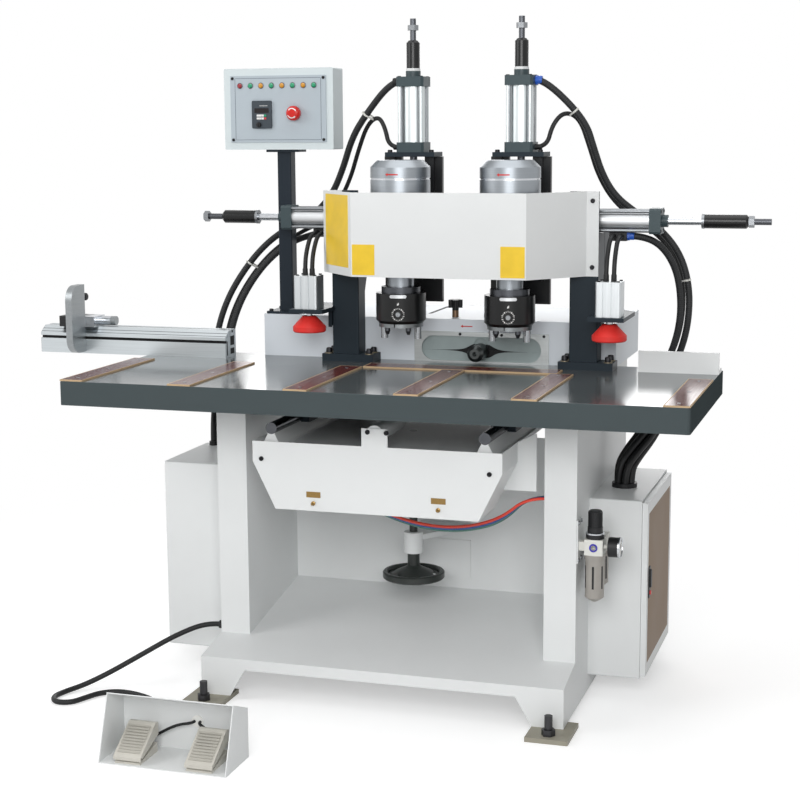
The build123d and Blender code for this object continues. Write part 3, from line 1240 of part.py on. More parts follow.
def make_housing():
    """The rear housing, its window plate and the slit rubber curtain that the spindle passes."""
    x = HOUSING_SPAN
    y = (HOUSING_FRONT_Y, housing_back_y)
    z = (TABLE_HEIGHT, housing_top)
    t = HOUSING_SHEET
    housing = block(x, y, z) - block((x[0] + t, x[1] - t), (y[0] + t, y[1] - t), (z[0], z[1] - t))
    curtain_width = WINDOW_SLOT_WIDTH + 2 * CURTAIN_MARGIN
    curtain_height = WINDOW_SLOT_BOTTOM + WINDOW_SLOT_HEIGHT + CURTAIN_MARGIN
    cut_width = curtain_width + 2 * CURTAIN_GAP
    cut_top = TABLE_HEIGHT + curtain_height + CURTAIN_GAP
    housing -= block(around(WINDOW_CENTRE_X, cut_width), (y[0] - 1, y[0] + t), (TABLE_HEIGHT, cut_top))
    node("rear_housing", housing)

    slot_z = TABLE_HEIGHT + WINDOW_SLOT_BOTTOM + WINDOW_SLOT_HEIGHT / 2
    window_y = (HOUSING_FRONT_Y - WINDOW_THICKNESS, HOUSING_FRONT_Y)
    window = block(
        around(WINDOW_CENTRE_X, WINDOW_WIDTH),
        window_y,
        (TABLE_HEIGHT, TABLE_HEIGHT + WINDOW_HEIGHT),
    )
    slot = extrude(stadium(WINDOW_SLOT_WIDTH, WINDOW_SLOT_HEIGHT), WINDOW_THICKNESS, both=True)
    window -= Pos(WINDOW_CENTRE_X, window_y[0], slot_z) * slot
    node("window_plate", window)

    curtain = block(
        around(WINDOW_CENTRE_X, curtain_width),
        (HOUSING_FRONT_Y, HOUSING_FRONT_Y + t),
        (TABLE_HEIGHT + CURTAIN_GAP, TABLE_HEIGHT + curtain_height),
    )
    half = CURTAIN_SLIT_LENGTH / 2
    upper = ThreePointArc((-half, 0, 0), (0, 0, CURTAIN_SLIT_RISE), (half, 0, 0))
    lower = ThreePointArc((half, 0, 0), (0, 0, -CURTAIN_SLIT_RISE), (-half, 0, 0))
    slit = extrude(make_face(upper + lower), t + 1, dir=(0, 1, 0), both=True)
    curtain -= Pos(WINDOW_CENTRE_X, HOUSING_FRONT_Y, spindle_z) * slit
    node("rubber_curtain", curtain)

    lobes = Circle(KNOB_RADIUS - KNOB_LOBE_RADIUS / 2)
    for i in range(KNOB_LOBES):
        angle = 2 * pi * i / KNOB_LOBES
        reach = KNOB_RADIUS - KNOB_LOBE_RADIUS / 2
        lobes += Pos(reach * cos(angle), reach * sin(angle)) * Circle(KNOB_LOBE_RADIUS)
    knob = Pos(0, 0, KNOB_STEM_HEIGHT) * extrude(lobes, KNOB_HEIGHT)
    knob += rod_z(0, 0, KNOB_STEM_RADIUS, (0, KNOB_STEM_HEIGHT))
    node("star_knob", Pos(KNOB_X, KNOB_Y, housing_top + SLIDE_GAP) * knob)


def make_spindle_unit():
    """The horizontal spindle: motor body and quill on a cross plate, and the turning collet nose."""
    x = WINDOW_CENTRE_X
    back = UNIT_FRONT_Y + UNIT_MOTOR_LENGTH
    quill_front = SPINDLE_NOSE_Y + NOSE_LENGTH + SLIDE_GAP
    unit = rod_y(x, spindle_z, UNIT_MOTOR_RADIUS, (UNIT_FRONT_Y, back))
    unit += rod_y(x, spindle_z, QUILL_RADIUS, (quill_front, UNIT_FRONT_Y))
    plate_bottom = riser_top + SLIDE_GAP
    plate_top = plate_bottom + CROSS_PLATE_THICKNESS
    plate_y = around(UNIT_FRONT_Y + UNIT_MOTOR_LENGTH / 2, RISER_DEPTH)
    unit += block(around(x, UNIT_MOTOR_RADIUS), plate_y, (plate_top, spindle_z))
    unit += block(around(x, CROSS_PLATE_WIDTH), plate_y, (plate_bottom, plate_top))
    for rail_y in cross_rails():
        unit -= block(
            around(x, CROSS_PLATE_WIDTH),
            around(rail_y, CROSS_RAIL_SIZE + 2 * SLIDE_GAP),
            (plate_bottom, plate_bottom + CROSS_RAIL_SIZE / 2),
        )
    spindle_back = UNIT_FRONT_Y + UNIT_MOTOR_LENGTH / 2
    unit -= rod_y(x, spindle_z, QUILL_BORE_RADIUS + SHAFT_GAP, (quill_front, spindle_back))
    node("spindle_unit", unit)

    nose = turned(
        (COLLET_BORE_RADIUS, 0),
        (NOSE_RADIUS * 0.6, 0),
        (NOSE_RADIUS, NOSE_RADIUS * 0.35),
        (NOSE_RADIUS, NOSE_LENGTH - SLIDE_GAP),
        (QUILL_BORE_RADIUS, NOSE_LENGTH - SLIDE_GAP),
        (QUILL_BORE_RADIUS, spindle_back - SPINDLE_NOSE_Y - SLIDE_GAP),
        (0, spindle_back - SPINDLE_NOSE_Y - SLIDE_GAP),
        (0, COLLET_BORE_DEPTH),
        (COLLET_BORE_RADIUS, COLLET_BORE_DEPTH),
    )
    node("collet_spindle", Pos(x, SPINDLE_NOSE_Y, spindle_z) * Rot(-90, 0, 0) * nose)


def cross_rails():
    """Depths of the two rails that the cross plate swings along."""
    middle = UNIT_FRONT_Y + UNIT_MOTOR_LENGTH / 2
    return (middle - CROSS_RAIL_SPACING / 2, middle + CROSS_RAIL_SPACING / 2)


def make_saddle():
    """The saddle on the round rails, with the riser, the cross rails and the feed rod."""
    x = around(KNEE_CENTRE_X, ROUND_RAIL_SPACING + BEARING_WIDTH)
    saddle = block(x, (SADDLE_FRONT_Y, SADDLE_FRONT_Y + SADDLE_LENGTH), (saddle_bottom, saddle_top))
    riser_y = around(UNIT_FRONT_Y + UNIT_MOTOR_LENGTH / 2, RISER_DEPTH)
    saddle += block(around(WINDOW_CENTRE_X, RISER_WIDTH), riser_y, (saddle_top, riser_top))
    cross_z = (riser_top, riser_top + CROSS_RAIL_SIZE / 2)
    for rail_y in cross_rails():
        saddle += block(around(WINDOW_CENTRE_X, RISER_WIDTH), around(rail_y, CROSS_RAIL_SIZE), cross_z)
    for side in (-1, 1):
        rail_x = KNEE_CENTRE_X + side * ROUND_RAIL_SPACING / 2
        for place in BEARING_PLACES:
            start = SADDLE_FRONT_Y + place
            span = (start, start + BEARING_LENGTH)
            low = round_rail_z - BEARING_DROP
            bearing = block(around(rail_x, BEARING_WIDTH), span, (low, saddle_bottom))
            bearing -= rod_y(rail_x, round_rail_z, ROUND_RAIL_RADIUS + SLIDE_GAP, span)
            mouth = RAIL_NECK_WIDTH + 4 * SLIDE_GAP + BEARING_DROP / 2
            bearing -= block(around(rail_x, mouth), span, (low, round_rail_z))
            saddle += bearing
    lug_z = (round_rail_z - FEED_LUG_SIZE / 2, saddle_bottom)
    lug_y = (FEED_LUG_Y, FEED_LUG_Y + FEED_LUG_SIZE / 2)
    saddle += block(around(KNEE_CENTRE_X, FEED_LUG_SIZE), lug_y, lug_z)
    rod_front = APRON_Y + APRON_SHEET + FEED_TUBE_LENGTH - SPINDLE_FEED / 2
    rod = rod_y(KNEE_CENTRE_X, round_rail_z, FEED_TUBE_ROD, (rod_front, FEED_LUG_Y))
    node("saddle", saddle + rod)


def make_knee():
    """The knee: rail plate, apron with its tab, guide shoe, lifting nut and the feed cylinder."""
    y = (APRON_Y + APRON_SHEET, APRON_Y + APRON_SHEET + KNEE_LENGTH)
    knee = block((knee_left, knee_right), y, (knee_bottom, knee_top))
    for side in (-1, 1):
        rail_x = KNEE_CENTRE_X + side * ROUND_RAIL_SPACING / 2
        foot = RAIL_FOOT_WIDTH / 2
        neck = RAIL_NECK_WIDTH / 2
        support = [
            (rail_x - foot, knee_top),
            (rail_x + foot, knee_top),
            (rail_x + foot, knee_top + neck),
            (rail_x + neck, round_rail_z - ROUND_RAIL_RADIUS + neck),
            (rail_x + neck, round_rail_z),
            (rail_x - neck, round_rail_z),
            (rail_x - neck, round_rail_z - ROUND_RAIL_RADIUS + neck),
            (rail_x - foot, knee_top + neck),
        ]
        rail_y = (ROUND_RAIL_FRONT_Y, ROUND_RAIL_FRONT_Y + ROUND_RAIL_LENGTH - 1)
        web = front_shape(support, rail_y)
        knee += web - rod_y(rail_x, round_rail_z, ROUND_RAIL_RADIUS, rail_y)
    knee += make_apron()
    shoe_front = WALL_Y - KNEE_WAY_THICKNESS - SLIDE_GAP - KNEE_SHOE_THICKNESS
    shoe_y = (shoe_front, shoe_front + KNEE_SHOE_THICKNESS)
    shoe_z = (house_top + KNEE_SHOE_CLEARANCE, knee_bottom)
    knee += block(around(KNEE_CENTRE_X, KNEE_SHOE_WIDTH), shoe_y, shoe_z)
    nut_z = (knee_bottom - SCREW_NUT_HEIGHT, knee_top)
    knee += rod_z(KNEE_CENTRE_X, SCREW_Y, SCREW_NUT_RADIUS, (nut_z[0], knee_bottom))
    knee -= rod_z(KNEE_CENTRE_X, SCREW_Y, SCREW_RADIUS + SHAFT_GAP, nut_z)
    tube_y = (APRON_Y + APRON_SHEET, APRON_Y + APRON_SHEET + FEED_TUBE_LENGTH)
    tube = rod_y(KNEE_CENTRE_X, round_rail_z, FEED_TUBE_RADIUS, tube_y)
    rod_hole = (tube_y[1] - 1.8 * SPINDLE_FEED, tube_y[1])
    tube -= rod_y(KNEE_CENTRE_X, round_rail_z, FEED_TUBE_ROD + SHAFT_GAP, rod_hole)
    node("knee", knee, tube)
    rails = []
    for side in (-1, 1):
        rail_x = KNEE_CENTRE_X + side * ROUND_RAIL_SPACING / 2
        span = (ROUND_RAIL_FRONT_Y, ROUND_RAIL_FRONT_Y + ROUND_RAIL_LENGTH - 1)
        rails.append(rod_y(rail_x, round_rail_z, ROUND_RAIL_RADIUS, span))
    node("round_rails", *rails)


def make_apron():
    """The folded sheet apron under the table's front, with its tab and the guard wing on its right."""
    half = APRON_WIDTH / 2
    low = APRON_BOTTOM_WIDTH / 2
    side_z = apron_top - APRON_SIDE
    bottom = apron_top - APRON_HEIGHT
    t = APRON_SHEET

    def outline(inset):
        return [
            (KNEE_CENTRE_X - half + inset, apron_top),
            (KNEE_CENTRE_X - half + inset, side_z),
            (KNEE_CENTRE_X - low + inset, bottom),
            (KNEE_CENTRE_X + low - inset, bottom),
            (KNEE_CENTRE_X + half - inset, side_z),
            (KNEE_CENTRE_X + half - inset, apron_top),
        ]

    back = APRON_Y + APRON_RETURN
    apron = front_shape(outline(0), (APRON_Y, back)) - front_shape(outline(t), (APRON_Y + t, back))
    tab = (apron_top - t, apron_top + APRON_TAB_HEIGHT)
    apron += block(around(KNEE_CENTRE_X, APRON_TAB_WIDTH), (APRON_Y, APRON_Y + t), tab)
    right = KNEE_CENTRE_X + half
    wing_bottom = apron_top - WING_DROP
    slant = (half - low) * (side_z - wing_bottom) / (side_z - bottom)
    wing = [
        (right - slant, wing_bottom),
        (right + WING_REACH, wing_bottom),
        (right + WING_REACH, apron_top + WING_RISE),
        (right, apron_top),
        (right, side_z),
    ]
    return apron + front_shape(wing, (back - t, back))


def make_wheel():
    """The lifting screw with its dished handwheel."""
    collar = house_bottom - SLIDE_GAP
    half_rim = WHEEL_RIM_HEIGHT / 2
    edge = WHEEL_RIM_WIDTH / 4
    inner = WHEEL_RADIUS - WHEEL_RIM_WIDTH
    wheel = turned(
        (0, WHEEL_DISH - WHEEL_WEB),
        (WHEEL_HUB_RADIUS, WHEEL_DISH - WHEEL_WEB),
        (inner, -half_rim + edge),
        (inner, -half_rim),
        (WHEEL_RADIUS - edge, -half_rim),
        (WHEEL_RADIUS, -half_rim + edge),
        (WHEEL_RADIUS, half_rim - edge),
        (WHEEL_RADIUS - edge, half_rim),
        (inner + edge, half_rim),
        (inner, half_rim - edge),
        (inner, -half_rim + edge + WHEEL_WEB),
        (WHEEL_HUB_RADIUS, WHEEL_DISH),
        (WHEEL_SHANK_RADIUS, WHEEL_DISH + WHEEL_WEB),
        (WHEEL_SHANK_RADIUS, collar - wheel_z),
        (0, collar - wheel_z),
    )
    for i in range(WHEEL_SLOTS):
        middle = 360 * i / WHEEL_SLOTS + WHEEL_SLOT_TURN
        reach = 2 * WHEEL_RADIUS
        ways = [radians(middle + side * WHEEL_SLOT_ANGLE / 2) for side in (-1, 1)]
        wedge = [(0, 0)] + [(reach * cos(way), reach * sin(way)) for way in ways]
        slot = Cylinder(inner - WHEEL_WEB, WHEEL_RADIUS) - Cylinder(inner - WHEEL_SLOT_WIDTH, WHEEL_RADIUS)
        wheel -= slot & plan_shape(wedge, (-half_rim, WHEEL_DISH))
    wheel += rod_z(0, 0, SCREW_RADIUS, (collar - wheel_z - SCREW_RADIUS, knee_top - SLIDE_GAP - wheel_z))
    node("handwheel", Pos(KNEE_CENTRE_X, SCREW_Y, wheel_z) * wheel)


def make_fences():
    """The slotted fence rail on the left with its sliding stop, and the plate fence on the right."""
    y0 = FENCE_FRONT_Y
    y1 = FENCE_FRONT_Y + FENCE_DEPTH
    front_top = TABLE_HEIGHT + FENCE_FRONT_HEIGHT
    back_top = TABLE_HEIGHT + FENCE_BACK_HEIGHT
    slot = FENCE_SLOT
    slot_y = y0 + FENCE_STEP + (FENCE_DEPTH - FENCE_STEP) / 2
    outline = [
        (y0, TABLE_HEIGHT),
        (y0, front_top - 2 * slot),
        (y0 + slot, front_top - 2 * slot),
        (y0 + slot, front_top - slot),
        (y0, front_top - slot),
        (y0, front_top),
        (y0 + FENCE_STEP, back_top),
        (slot_y - slot / 2, back_top),
        (slot_y - slot / 2, back_top - slot),
        (slot_y + slot / 2, back_top - slot),
        (slot_y + slot / 2, back_top),
        (y1, back_top),
        (y1, TABLE_HEIGHT),
    ]
    span = (FENCE_LEFT, FENCE_LEFT + FENCE_LENGTH)
    rail = side_shape(outline, span)

    fence_y = (REAR_FENCE_Y, REAR_FENCE_Y + REAR_FENCE_THICKNESS)
    fence = block(REAR_FENCE_SPAN, fence_y, (TABLE_HEIGHT, TABLE_HEIGHT + REAR_FENCE_HEIGHT))
    foot_y = (REAR_FENCE_Y, REAR_FENCE_Y + REAR_FENCE_FOOT)
    fence += block(REAR_FENCE_SPAN, foot_y, (TABLE_HEIGHT, TABLE_HEIGHT + REAR_FENCE_THICKNESS))
    node("table_fences", rail, fence)

    slider_bottom = back_top + SLIDE_GAP
    slider_top = slider_bottom + STOP_SLIDER_HEIGHT
    plate_back = y0 - SLIDE_GAP
    plate_x = around(STOP_X, STOP_PLATE_THICKNESS)
    plate_bottom = TABLE_HEIGHT + STOP_PLATE_LIFT
    plate_z = (plate_bottom, plate_bottom + STOP_PLATE_HEIGHT)
    plate = block(plate_x, (plate_back - STOP_PLATE_DEPTH, plate_back), plate_z)
    front_edges = plate.faces().sort_by(Axis.Y)[0].edges().filter_by(Axis.X)
    plate = fillet(front_edges, STOP_PLATE_RADIUS)
    slider_x = around(STOP_KNOB_X / 2 + STOP_X / 2, STOP_SLIDER_LENGTH)
    plate += block(slider_x, (plate_back, y1 - slot), (slider_bottom, slider_top))
    screw_z = (slider_bottom + slider_top) / 2
    plate += rod_x(slot_y, screw_z, STOP_SCREW_RADIUS, (slider_x[1], slider_x[1] + STOP_SCREW_LENGTH))
    node("length_stop", plate)

    knob = rod_z(0, 0, STOP_KNOB_STEM_RADIUS, (0, STOP_KNOB_STEM))
    handle = rod_x(0, STOP_KNOB_STEM + STOP_KNOB_RADIUS / 2, STOP_KNOB_RADIUS, around(0, STOP_KNOB_LENGTH))
    handle = fillet(handle.edges().filter_by(GeomType.CIRCLE), STOP_KNOB_RADIUS / 2)
    node("stop_knob", Pos(STOP_KNOB_X, slot_y, slider_top + SLIDE_GAP) * (knob + handle))


def make_service_unit():
    """The air service unit on the right upright: regulator, two bowls, gauge and its bracket."""
    x = SERVICE_X
    body_z = (SERVICE_BODY_BOTTOM, SERVICE_BODY_BOTTOM + SERVICE_BODY_HEIGHT)
    bodies = []
    for i in range(2):
        y = SERVICE_Y + i * SERVICE_PITCH
        bodies.append(block(around(x, SERVICE_BODY), around(y, SERVICE_BODY), body_z))
    link_y = (SERVICE_Y, SERVICE_Y + SERVICE_PITCH)
    middle_z = sum(body_z) / 2
    half_z = around(middle_z, SERVICE_BODY / 2)
    unit = bodies[0] + bodies[1] + block(around(x, SERVICE_BODY / 2), link_y, half_z)
    bracket_z = (body_z[0] - SERVICE_BODY / 2, body_z[0] - SERVICE_BODY / 2 + SERVICE_BRACKET_HEIGHT)
    bracket_x = (base_right, base_right + SERVICE_BRACKET_THICKNESS)
    unit += block(bracket_x, around(SERVICE_Y, SERVICE_BODY), bracket_z)
    unit += block((base_right, x), around(SERVICE_Y, SERVICE_BODY / 2), half_z)
    front = SERVICE_Y - SERVICE_BODY / 2
    unit -= rod_y(x, middle_z, INLET_RADIUS, (front, front + INLET_DEPTH))
    stem = (x + SERVICE_BODY / 2, x + SERVICE_BODY / 2 + GAUGE_STEM)
    gauge = (stem[1], stem[1] + GAUGE_DEPTH)
    unit += rod_x(SERVICE_Y, middle_z, GAUGE_STEM / 2, stem)
    unit += rod_x(SERVICE_Y, middle_z, GAUGE_RADIUS, gauge)
    ring = rod_z(x, SERVICE_Y, REGULATOR_RING_RADIUS, (body_z[1], body_z[1] + REGULATOR_RING_HEIGHT))
    bowls = []
    for i, length in enumerate((BOWL_LENGTH, REAR_BOWL_LENGTH)):
        bowl = turned(
            (0, 0),
            (BOWL_COLLAR_RADIUS, 0),
            (BOWL_COLLAR_RADIUS, -SERVICE_BODY / 4),
            (BOWL_RADIUS, -SERVICE_BODY / 4),
            (BOWL_RADIUS, BOWL_RADIUS / 2 - length),
            (BOWL_RADIUS * 0.7, BOWL_RADIUS / 4 - length),
            (BOWL_RADIUS / 4, -length),
            (0, -length),
        )
        bowls.append(Pos(x, SERVICE_Y + i * SERVICE_PITCH, body_z[0]) * bowl)
    node("air_service_unit", unit + ring, *bowls)

    knob = turned(
        (0, 0),
        (REGULATOR_RADIUS + REGULATOR_FLANGE, 0),
        (REGULATOR_RADIUS + REGULATOR_FLANGE, REGULATOR_HEIGHT / 4),
        (REGULATOR_RADIUS, REGULATOR_HEIGHT / 4),
        (REGULATOR_RADIUS, REGULATOR_HEIGHT - REGULATOR_FLANGE),
        (REGULATOR_RADIUS - REGULATOR_FLANGE, REGULATOR_HEIGHT),
        (0, REGULATOR_HEIGHT),
    )
    knob_bottom = body_z[1] + REGULATOR_RING_HEIGHT + SLIDE_GAP
    node("regulator_knob", Pos(x, SERVICE_Y, knob_bottom) * knob)


def make_foot_switch():
    """The open-fronted floor hood with two foot pedals hinged at their toes."""
    x = around(HOOD_CENTRE_X, HOOD_WIDTH)
    t = HOOD_SHEET
    outer = [
        (HOOD_FRONT_Y, 0),
        (HOOD_FRONT_Y + HOOD_TOP_SETBACK, HOOD_TOP_HEIGHT),
        (hood_back_y, HOOD_BACK_HEIGHT),
        (hood_back_y, 0),
    ]
    inner = [
        (HOOD_FRONT_Y - 2 * t, t),
        (HOOD_FRONT_Y + HOOD_TOP_SETBACK - 2 * t, HOOD_TOP_HEIGHT - t + 2 * t * 0.4),
        (hood_back_y - t, HOOD_BACK_HEIGHT - t),
        (hood_back_y - t, t),
    ]
    hood = side_shape(outer, x) - side_shape(inner, (x[0] + t, x[1] - t))
    hole = (hood_back_y - t, hood_back_y)
    hood += rod_y(GROMMET_X, GROMMET_Z, GROMMET_RADIUS, (hole[0] - t, hole[1] + t))
    back = PEDAL_FRONT_Y + PEDAL_LENGTH
    bases = []
    for name, side in (("left_pedal", -1), ("right_pedal", 1)):
        centre = HOOD_CENTRE_X + side * PEDAL_SPACING / 2
        base = [
            (PEDAL_FRONT_Y + t, t),
            (PEDAL_FRONT_Y + t, PEDAL_HINGE_HEIGHT / 2),
            (back - t, PEDAL_BASE_HEIGHT),
            (back - t, t),
        ]
        pin_y = PEDAL_FRONT_Y + PEDAL_PIN_SETBACK
        pin_x = around(centre, PEDAL_WIDTH - 2 * t)
        foot = side_shape(base, pin_x)
        foot += block(pin_x, around(pin_y, PEDAL_PIN_RADIUS * 0.6), (2 * t, PEDAL_PIN_HEIGHT))
        bases.append(foot + rod_x(pin_y, PEDAL_PIN_HEIGHT, PEDAL_PIN_RADIUS, pin_x))
        treadle = [
            (PEDAL_FRONT_Y, PEDAL_HINGE_HEIGHT - t),
            (PEDAL_FRONT_Y, PEDAL_TOE_HEIGHT),
            (back - PEDAL_LENGTH / 8, PEDAL_BACK_HEIGHT),
            (back, PEDAL_BACK_HEIGHT - t),
            (back, PEDAL_HEEL_HEIGHT),
        ]
        pedal = side_shape(treadle, around(centre, PEDAL_WIDTH))
        pedal = fillet(pedal.edges().filter_by(Axis.X).sort_by(Axis.Z)[-1:], PEDAL_CORNER_RADIUS)
        pedal -= rod_x(pin_y, PEDAL_PIN_HEIGHT, PEDAL_PIN_RADIUS + SHAFT_GAP, around(centre, PEDAL_WIDTH))
        node(name, pedal)
    node("pedal_hood", hood, *bases)


def hose(points, radius):
    """A round hose along straight runs that are joined by the largest arcs they take."""
    corners = [Vector(*point) for point in points]
    bends = []
    for before, corner, after in zip(corners, corners[1:], corners[2:]):
        first = corner - before
        second = after - corner
        turn = radians(first.get_angle(second))
        bends.append(0.45 * min(first.length, second.length) / tan(turn / 2))
    path = FilletPolyline(*corners, radius=bends)
    start = Plane(origin=corners[0], z_dir=corners[1] - corners[0])
    tube = sweep(start * Circle(radius), path)
    share = tube.volume / (pi * radius**2 * path.length)
    print(f"hose r {radius} length {path.length:.0f} tightest {min(bends):.0f} volume share {share:.4f}")
    return tube


def make_hoses():
    """The head hoses, the loops behind the gantry, the clamp hoses, air tubes and pedal cables."""
    port_z = feed_bottom + 1.5 * FEED_CAP_LENGTH + FEED_BARREL_LENGTH
    right_port = head_x(1) + FEED_CAP / 2
    left_port = head_x(-1) - FEED_CAP / 2
    conduit_top = table_under + COLLAR_RISE
    right_head = [
        (right_port, feed_axis_y, port_z),
        (right_port + 26, feed_axis_y, port_z),
        (428, 621, 1489),
        (450, 636, 1412),
        (470, 650, 1346),
        (502, 664, 1290),
        (555, 674, 1247),
        (622, 678, 1204),
        (677, 675, 1138),
        (703, 670, 1050),
        (702, 665, 955),
        (680, 672, 872),
        (653, 680, 822),
        (653, 680, conduit_top),
    ]
    left_head = [
        (left_port, feed_axis_y, port_z),
        (left_port - 26, feed_axis_y, port_z),
        (-188, 626, 1496),
        (-226, 640, 1440),
        (-258, 658, 1360),
        (-300, 682, 1286),
        (-362, 703, 1230),
        (-440, 712, 1196),
        (-514, 711, 1146),
        (-578, 703, 1072),
        (-630, 693, 985),
        (-660, 684, 890),
        (-666, 674, 790),
        (-655, 650, 700),
        (LEFT_GLAND_X[0], LEFT_GLAND_Y, 640),
        (LEFT_GLAND_X[0], LEFT_GLAND_Y, LEFT_CABINET_BOTTOM + LEFT_CABINET_HEIGHT + COLLAR_RISE),
    ]
    low_port_z = feed_bottom + FEED_CAP_LENGTH / 2
    right_thin = [
        (right_port, feed_axis_y, low_port_z),
        (right_port + 31, feed_axis_y, low_port_z),
        (344, 602, 1476),
        (372, 620, 1512),
        (410, 641, 1494),
        (434, 655, 1418),
        (455, 670, 1344),
        (494, 684, 1276),
        (556, 694, 1224),
        (622, 699, 1180),
        (668, 697, 1116),
        (685, 693, 1036),
        (682, 688, 952),
        (660, 690, 874),
        (630, 692, 826),
        (630, 692, conduit_top),
    ]
    left_thin = [
        (left_port, feed_axis_y, low_port_z),
        (left_port - 31, feed_axis_y, low_port_z),
        (-116, 602, 1472),
        (-142, 624, 1504),
        (-182, 648, 1482),
        (-216, 668, 1410),
        (-246, 688, 1334),
        (-290, 708, 1262),
        (-350, 726, 1208),
        (-430, 738, 1172),
        (-504, 737, 1124),
        (-564, 728, 1056),
        (-612, 716, 974),
        (-640, 706, 886),
        (-646, 694, 792),
        (-634, 668, 710),
        (*THIN_GLAND, 642),
        (*THIN_GLAND, LEFT_CABINET_BOTTOM + LEFT_CABINET_HEIGHT + COLLAR_RISE),
    ]
    node("right_head_hose", hose(right_head, HOSE_RADIUS), hose(right_thin, THIN_HOSE_RADIUS))
    node("left_head_hose", hose(left_head, HOSE_RADIUS), hose(left_thin, THIN_HOSE_RADIUS))

    clamp_right = GANTRY_CENTRE_X + CLAMP_SPACING / 2
    clamp_left = GANTRY_CENTRE_X - CLAMP_SPACING / 2
    manifold_z = shift_axis_z - SHIFT_BARREL_RADIUS + BARREL_WALL / 2 - MANIFOLD_HEIGHT / 2
    block_right = clamp_right + MANIFOLD_WIDTH / 2
    right_loop = [
        (block_right, shift_axis_y, manifold_z),
        (block_right + 36, shift_axis_y, manifold_z),
        (632, 616, 1168),
        (668, 634, 1112),
        (683, 645, 1040),
        (682, 652, 958),
        (660, 660, 876),
        (629, 666, 824),
        (629, 666, conduit_top),
    ]
    left_loop = [
        (clamp_left, shift_axis_y + MANIFOLD_DEPTH / 2, manifold_z),
        (clamp_left, shift_axis_y + MANIFOLD_DEPTH / 2 + 36, manifold_z),
        (-322, 690, 1184),
        (-372, 708, 1174),
        (-432, 713, 1154),
        (-486, 710, 1118),
        (-538, 700, 1062),
        (-588, 690, 980),
        (-616, 680, 890),
        (-622, 668, 795),
        (-612, 644, 700),
        (LEFT_GLAND_X[1], LEFT_GLAND_Y, 640),
        (LEFT_GLAND_X[1], LEFT_GLAND_Y, LEFT_CABINET_BOTTOM + LEFT_CABINET_HEIGHT + COLLAR_RISE),
    ]
    conduit = [
        (641, 673, conduit_top),
        (641, 673, 744),
        (610, 634, 668),
        (CONDUIT_X + 10, CONDUIT_Y + 12, 604),
        (CONDUIT_X, CONDUIT_Y, 575),
        (CONDUIT_X, CONDUIT_Y, RIGHT_CABINET_BOTTOM + RIGHT_CABINET_HEIGHT + COLLAR_RISE),
    ]
    cables = [hose(right_loop, HOSE_RADIUS), hose(left_loop, HOSE_RADIUS), hose(conduit, CONDUIT_RADIUS)]

    clamp_top = clamp_plate_top + CLAMP_BODY_HEIGHT
    block_front = shift_axis_y - MANIFOLD_DEPTH / 2
    for centre in (clamp_left, clamp_right):
        for x in around(centre, CLAMP_HOSE_SPACING):
            run = [
                (x, CLAMP_Y, clamp_top),
                (x, CLAMP_Y, clamp_top + 36),
                (x, CLAMP_Y + 18, manifold_z - 36),
                (x, CLAMP_Y + 52, manifold_z),
                (x, block_front, manifold_z),
            ]
            cables.append(hose(run, CLAMP_HOSE_RADIUS))

    inner_left = base_left + UPRIGHT_WIDTH
    inner_right = base_right - UPRIGHT_WIDTH
    for i in range(TUBE_COUNT):
        y = 312 + i * TUBE_PITCH
        drop = i * TUBE_PITCH * 0.7
        run = [
            (inner_left, y, 640),
            (inner_left + 70, y, 640),
            (-208, y + 6, 572 - drop),
            (-112, y + 10, 508 - drop),
            (-12, y + 12, 464 - drop),
            (90, y + 12, 444 - drop),
            (190, y + 10, 449 - drop),
            (282, y + 6, 480 - drop),
            (350, y, 540),
            (inner_right, y, 540),
        ]
        cables.append(hose(run, TUBE_RADIUS))

    grommet_out = hood_back_y + HOOD_SHEET
    floor_z = CABLE_RADIUS + SLIDE_GAP
    pedal_cable = [
        (base_left - COLLAR_RISE, PEDAL_GLAND_Y, PEDAL_GLAND_Z),
        (base_left - COLLAR_RISE - 40, PEDAL_GLAND_Y, PEDAL_GLAND_Z),
        (-592, 208, 126),
        (-664, 158, 84),
        (-736, 106, 42),
        (-794, 64, 14),
        (-828, 20, floor_z),
        (-838, -28, floor_z),
        (-812, -64, floor_z),
        (-770, -54, floor_z),
        (-752, -8, floor_z),
        (-732, 38, floor_z),
        (-684, 62, floor_z),
        (-612, 46, floor_z),
        (-545, 2, floor_z),
        (-484, -55, floor_z),
        (-424, -112, floor_z),
        (-370, -160, 18),
        (-330, -192, 48),
        (GROMMET_X, grommet_out + 40, GROMMET_Z),
        (GROMMET_X, grommet_out, GROMMET_Z),
    ]
    cables.append(hose(pedal_cable, CABLE_RADIUS))

    grommet_in = hood_back_y - 2 * HOOD_SHEET
    base_back = PEDAL_FRONT_Y + PEDAL_LENGTH - HOOD_SHEET
    lead_y = grommet_in - LEAD_SETBACK
    for side in (-1, 1):
        start = GROMMET_X + side * GROMMET_RADIUS / 2
        end = HOOD_CENTRE_X + side * PEDAL_SPACING / 2
        lead = [
            (start, grommet_in, GROMMET_Z),
            (start, lead_y, GROMMET_Z),
            (start + 0.35 * (end - start), lead_y - 1, GROMMET_Z - 8),
            (start + 0.8 * (end - start), lead_y, GROMMET_Z - 38),
            (end, lead_y, PEDAL_BASE_HEIGHT - 2 * LEAD_RADIUS),
            (end, base_back, PEDAL_BASE_HEIGHT - 2 * LEAD_RADIUS),
        ]
        cables.append(hose(lead, LEAD_RADIUS))
    node("hoses_and_cables", *cables)


